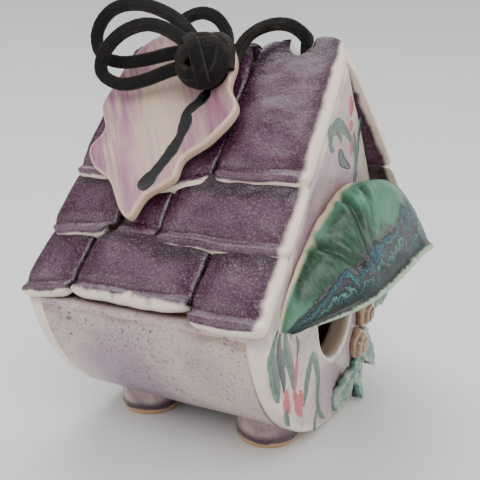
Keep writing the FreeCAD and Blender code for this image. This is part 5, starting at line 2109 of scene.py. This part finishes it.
@dataclass
class Lace:
    """Black suede lace: its stretches, its loops and the knot that holds the tag."""

    finishes: Finishes
    width: float = 4.5 * MM
    thickness: float = 3.0 * MM
    corner: float = 0.9 * MM
    nap: float = 0.3 * MM
    tuck: float = 2.4 * MM
    stiffness: str = "limp"
    routes: tuple[Route, ...] = (
        Route("lace_front", ((0, -18, 141), (-1, -14.5, 145), (-2, -8, 146.5), (-2.5, -1, 145.2),
                             (-3.5, 4.5, 141.5),
                             (-8, 6, 134.6), (-13.5, 6, 127.6)),
              ((-0.8, 0.2, 0.6), (-0.75, 0.0, 0.65)), Body.HANGER, "knot"),
        Route("lace_rear", ((0, 42, 141), (0.5, 39, 146), (1, 33, 150), (1, 25.5, 152.5), (0.5, 18, 150.5),
                            (-1, 12.5, 144.5), (-4.8, 10.6, 138.6), (-9.4, 10.6, 133.2),
                            (-13.5, 10.6, 127.6)),
              ((-0.9, 0.0, 0.3), (-0.75, 0.0, 0.65)), Body.HANGER, "knot"),
        Route("lace_inside", ((0, -18, 138.5), (0, -18, 128.5), (0, -12, 119.5), (0, 0, 116),
                              (0, 12, 115.2),
                              (0, 24, 116), (0, 36, 119.5), (0, 42, 128.5), (0, 42, 138.5)),
              ((-1, 0, 0), (-1, 0, 0)), Body.HOUSE, "object"),
        Route("loop_outer", ((-25, 11, 138), (-23, 15, 142.5), (-20, 24, 149), (-19, 38, 154),
                             (-19, 51, 153),
                             (-20, 58, 145), (-22, 55, 136), (-24, 44, 133), (-24.5, 32, 134),
                             (-26, 20, 136),
                             (-27.5, 12, 136)),
              ((-0.7, -0.5, 0.5), (-0.8, -0.3, -0.3)), Body.HANGER, "knot"),
        Route("loop_inner", ((-30, 11, 137.5), (-29, 16.5, 141.5), (-28.5, 28, 146), (-29, 40, 143),
                             (-29, 48, 136),
                             (-29.5, 49, 129), (-29.5, 40, 125), (-29, 29, 127), (-29, 20, 130),
                             (-29, 13, 131.5)),
              ((-0.8, -0.3, 0.5), (-0.9, -0.3, -0.2)), Body.HANGER, "knot"))
    recipe: Recipe = field(init=False)

    def __post_init__(self) -> None:
        """Build the strap's node tree."""
        self.recipe = strap_recipe()

    def build(self) -> None:
        """Build the knot and every stretch of the lace."""
        knot = Knot(self).build()
        for number, route in enumerate(self.routes):
            line = self.smooth_line(route.node, route.points)
            strap = list(line)
            if route.node in ("lace_front", "lace_rear"):
                strap.insert(0, line[0] - Vector((0, 0, self.tuck)))
            ways = self.facings(strap, route.faces)
            piece = self.sweep(route.node + "_strap", [(strap, ways)], float(number))
            settle(piece, route.body, Slot.LACE, route.node)
            length = sum((b - a).length for a, b in zip(line, line[1:]))
            tuple(line[0])
            "taut" if route.node == "lace_inside" else "loose"
            [knot] if route.node == "lace_front" else []
            [tuple(spot) for spot in line]

    @staticmethod
    def smooth_line(name: str, points: Sequence[tuple[float, float, float]]) -> list[Vector]:
        """Points along the smooth NURBS line of a route.

        Args:
            name: name of the curve.
            points: control points in millimetres.

        Returns:
            Points of the line in metres.
        """
        data = bpy.data.curves.new(name + "_route", "CURVE")
        data.dimensions = "3D"
        data.resolution_u = 14
        spline = data.splines.new("NURBS")
        spline.points.add(len(points) - 1)
        for control, point in zip(spline.points, points):
            control.co = (*[number * MM for number in point], 1.0)
        spline.order_u = 3
        spline.use_endpoint_u = True
        guide = link(name + "_route", data)
        mesh = evaluated_mesh(guide)
        line = [vertex.co.copy() for vertex in mesh.vertices]
        bpy.data.objects.remove(guide)
        bpy.data.meshes.remove(mesh)
        return line

    @staticmethod
    def facings(line: Sequence[Vector], faces: Sequence[Sequence[float]]) -> list[Vector]:
        """Way the flat side turns at each point, square to the line."""
        row = []
        for index in range(len(line)):
            wish = Vector(faces[0]).lerp(Vector(faces[1]), index / (len(line) - 1))
            along = heading(line, index)
            turned = square_to(wish, along)
            if row:
                carried = square_to(row[-1], along).normalized()
                turned = square_to(turned.normalized().lerp(carried, 0.75), along)
            row.append(turned.normalized())
        return row

    def sweep(self, name: str, strands: Sequence[tuple[Sequence[Vector], Sequence[Vector]]],
              seed: float) -> bpy.types.Object:
        """Sweep the flat lace along one or more lines.

        Args:
            name: name of the object.
            strands: points of each line, and the way the lace faces at each.
            seed: seed of the nap.

        Returns:
            The object.
        """
        points = [spot for line, _ in strands for spot in line]
        facings = [way for _, ways in strands for way in ways]
        edges = []
        start = 0
        for line, _ in strands:
            edges += [(start + index, start + index + 1) for index in range(len(line) - 1)]
            start += len(line)
        mesh = bpy.data.meshes.new(name)
        mesh.from_pydata([tuple(spot) for spot in points], edges, [])
        layer = mesh.attributes.new("facing", "FLOAT_VECTOR", "POINT")
        layer.data.foreach_set("vector", [number for way in facings for number in way])
        return self.recipe.cook(link(name, mesh), {
            "Width": self.width, "Thickness": self.thickness, "Corner": self.corner, "Nap": self.nap,
            "Seed": seed, "Material": self.finishes.made["suede"]})


@dataclass
class Knot:
    """Round knot of many wraps, with the neck that goes through the tag's hole."""

    lace: Lace
    centre: Vector = field(default_factory=lambda: Vector((-27.0, 8.3, 132.9)) * MM)
    radius: float = 7.9 * MM
    depth: float = 5.6 * MM
    turns: float = 4.3
    overs: tuple[tuple[tuple[float, float, float], ...], ...] = (
        ((6.6, 5.4, 1.5), (4.0, 4.6, 5.4), (1.4, 2.6, 7.4), (-1.0, -0.4, 8.0), (-2.6, -3.8, 6.8),
         (-3.6, -7.2, 3.8),
         (-3.4, -8.6, 0.0)),
        ((5.8, -2.6, 4.2), (3.0, -1.4, 6.4), (0.4, -0.6, 7.0), (-1.6, 0.8, 6.4), (-4.4, 2.6, 5.4),
         (-7.4, 3.4, 2.6)),
        ((-6.6, 1.2, -7.0), (-5.2, 8.6, -5.5), (-1.0, 13.6, -6.5), (4.6, 15.4, -8.0), (9.4, 14.0, -9.5),
         (12.0, 9.6, -10.5), (11.4, 3.2, -11.5)))
    necks: tuple[float, float] = (-1.7, 1.7)

    def place(self, across: float, up: float, out: float) -> Vector:
        """Position of a point of the knot, from millimetres across, up and out of the tag."""
        return self.centre + (Vector((0, across, 0)) - TAG_DOWN * up + TAG_NORMAL * out) * MM

    def build(self) -> bpy.types.Object:
        """Build the knot as one piece of several strands.

        Returns:
            The knot.
        """
        strands = [self.wraps()]
        for over in self.overs:
            row = [self.place(*point) for point in curve_through(over, 8)]
            strands.append((row, self.away(row)))
        for side in self.necks:
            row = [self.place(side, 0.0, -2.0 - 1.1 * step) for step in range(11)]
            strands.append((row, [Vector((0, 1, 0))] * len(row)))
        piece = self.lace.sweep("knot_wraps", strands, 9.0)
        settle(piece, Body.HANGER, Slot.LACE, "knot")
        return piece

    def away(self, row: Sequence[Vector]) -> list[Vector]:
        """Way out of the knot's middle at each point, square to the strand."""
        return [square_to(spot - self.centre, heading(row, index)).normalized()
                for index, spot in enumerate(row)]

    def wraps(self) -> tuple[list[Vector], list[Vector]]:
        """The lace wound round and round, from the back of the knot to its front."""
        row = []
        steps = round(self.turns * 44)
        tilt = Matrix.Rotation(math.radians(14), 3, "X")
        for step in range(steps + 1):
            share = step / steps
            polar = math.radians(mix(152, 24, share))
            turn = math.tau * self.turns * share + 0.8
            uneven = 1 + 0.045 * ripple(math.cos(turn), math.sin(turn), share * 3, 0.8, 5.0)
            reach = self.radius * uneven * math.sin(polar)
            spot = tilt @ Vector((reach * math.cos(turn), reach * math.sin(turn),
                                  -self.depth * math.cos(polar)))
            row.append(self.centre + Vector((0, spot.x, 0)) - TAG_DOWN * spot.y + TAG_NORMAL * spot.z)
        return row, self.away(row)


# ---------------------------------------------------------------- studio
@dataclass
class Studio:
    """Floor, lights and camera."""

    radius: float = 0.4
    bend: float = 1.7
    wall: float = 0.5
    sides: int = 96
    air: float = 0.45
    target: Vector = field(default_factory=lambda: Vector((0, 0, 70 * MM)))
    camera_place: Vector = field(default_factory=lambda: Vector((-206.02, -97.30, 120.62)) * MM)
    camera_azimuth: float = -62.95
    camera_elevation: float = 13.05
    camera_roll: float = 0.14
    focal_length: float = 45.52

    def build(self) -> None:
        """Build everything around the object."""
        self.build_floor()
        self.build_camera()
        self.build_light("key_softbox", Vector((-0.7, -0.55, 1.05)), 0.9, 13.0)
        self.build_light("top_softbox", Vector((0.35, 0.3, 1.25)), 1.2, 15.0)
        self.build_light("fill_softbox", Vector((0.5, -0.95, 0.6)), 0.9, 4.0)
        self.build_light("side_softbox", Vector((-0.8, 0.7, 0.6)), 0.8, 2.5)
        world = bpy.data.worlds.new("studio_air")
        bpy.context.scene.world = world
        world.use_nodes = True
        sky = world.node_tree.nodes["Background"]
        sky.inputs[0].default_value = tint("dfe0e2", 1.0)
        sky.inputs[1].default_value = self.air

    def build_floor(self) -> None:
        """Round sheet of pale paper whose rim curves up all the way round."""
        profile = [(self.radius * step / 12, 0.0) for step in range(1, 13)]
        for step in range(1, 17):
            turn = math.pi / 2 * step / 16
            profile.append((self.radius + self.bend * math.sin(turn), self.bend * (1 - math.cos(turn))))
        profile.append((self.radius + self.bend, self.bend + self.wall))
        points = [Vector((0, 0, 0))]
        for reach, height in profile:
            points += [Vector((reach * math.cos(turn), reach * math.sin(turn), height))
                       for turn in turns(self.sides)]
        faces = [(0, 1 + step, 1 + (step + 1) % self.sides) for step in range(self.sides)]
        faces += [tuple(reversed(face)) for face in grid_faces(len(profile), self.sides, False, True, 1)]
        mesh = bpy.data.meshes.new("paper_sweep")
        mesh.from_pydata([tuple(point) for point in points], [], faces)
        mesh.polygons.foreach_set("use_smooth", [True] * len(mesh.polygons))
        floor = link("paper_sweep", mesh)
        floor.data.materials.append(StudioFloor().build())
        floor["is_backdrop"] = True

    def build_light(self, name: str, place: Vector, size: float, power: float) -> None:
        """Square area light that points at the middle of the object."""
        data = bpy.data.lights.new(name, "AREA")
        data.size = size
        data.energy = power
        lamp = link(name, data)
        lamp.location = place
        lamp.rotation_euler = (self.target - place).to_track_quat("-Z", "Y").to_euler()

    def build_camera(self) -> None:
        """Camera at the front left corner, a little above the roof."""
        data = bpy.data.cameras.new("portrait_camera")
        data.lens = self.focal_length
        data.sensor_width = 36.0
        data.clip_start = 0.01
        data.clip_end = 20.0
        camera = link("portrait_camera", data)
        azimuth = math.radians(self.camera_azimuth)
        elevation = math.radians(self.camera_elevation)
        forward = Vector((-math.sin(azimuth) * math.cos(elevation), math.cos(azimuth) * math.cos(elevation),
                          -math.sin(elevation)))
        right = forward.cross(Vector((0, 0, 1))).normalized()
        turn = Matrix.Rotation(math.radians(-self.camera_roll), 3, forward)
        right = turn @ right
        upward = right.cross(forward)
        facing = Matrix((right, upward, -forward)).transposed()
        camera.matrix_world = Matrix.Translation(self.camera_place) @ facing.to_4x4()
        bpy.context.scene.camera = camera


def main() -> None:
    """Build the studio, then the object from its cords outwards."""
    Studio().build()
    finishes = Finishes(Effects())
    for maker in MAKERS:
        maker(finishes).build()
        LOG.info("finished %s", maker.__name__)
    boxes = {"cad": CAD_BOX, "visual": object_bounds()}
    {name: [list(corner) for corner in box] for name, box in boxes.items()}


MAKERS: tuple[Any, ...] = (Lace, Tag, House, Roof, Hood, Sprig, Brushwork, Stopper)

if __name__ == "__main__":
    logging.basicConfig(level=logging.INFO, format="%(name)s: %(message)s")
    main()
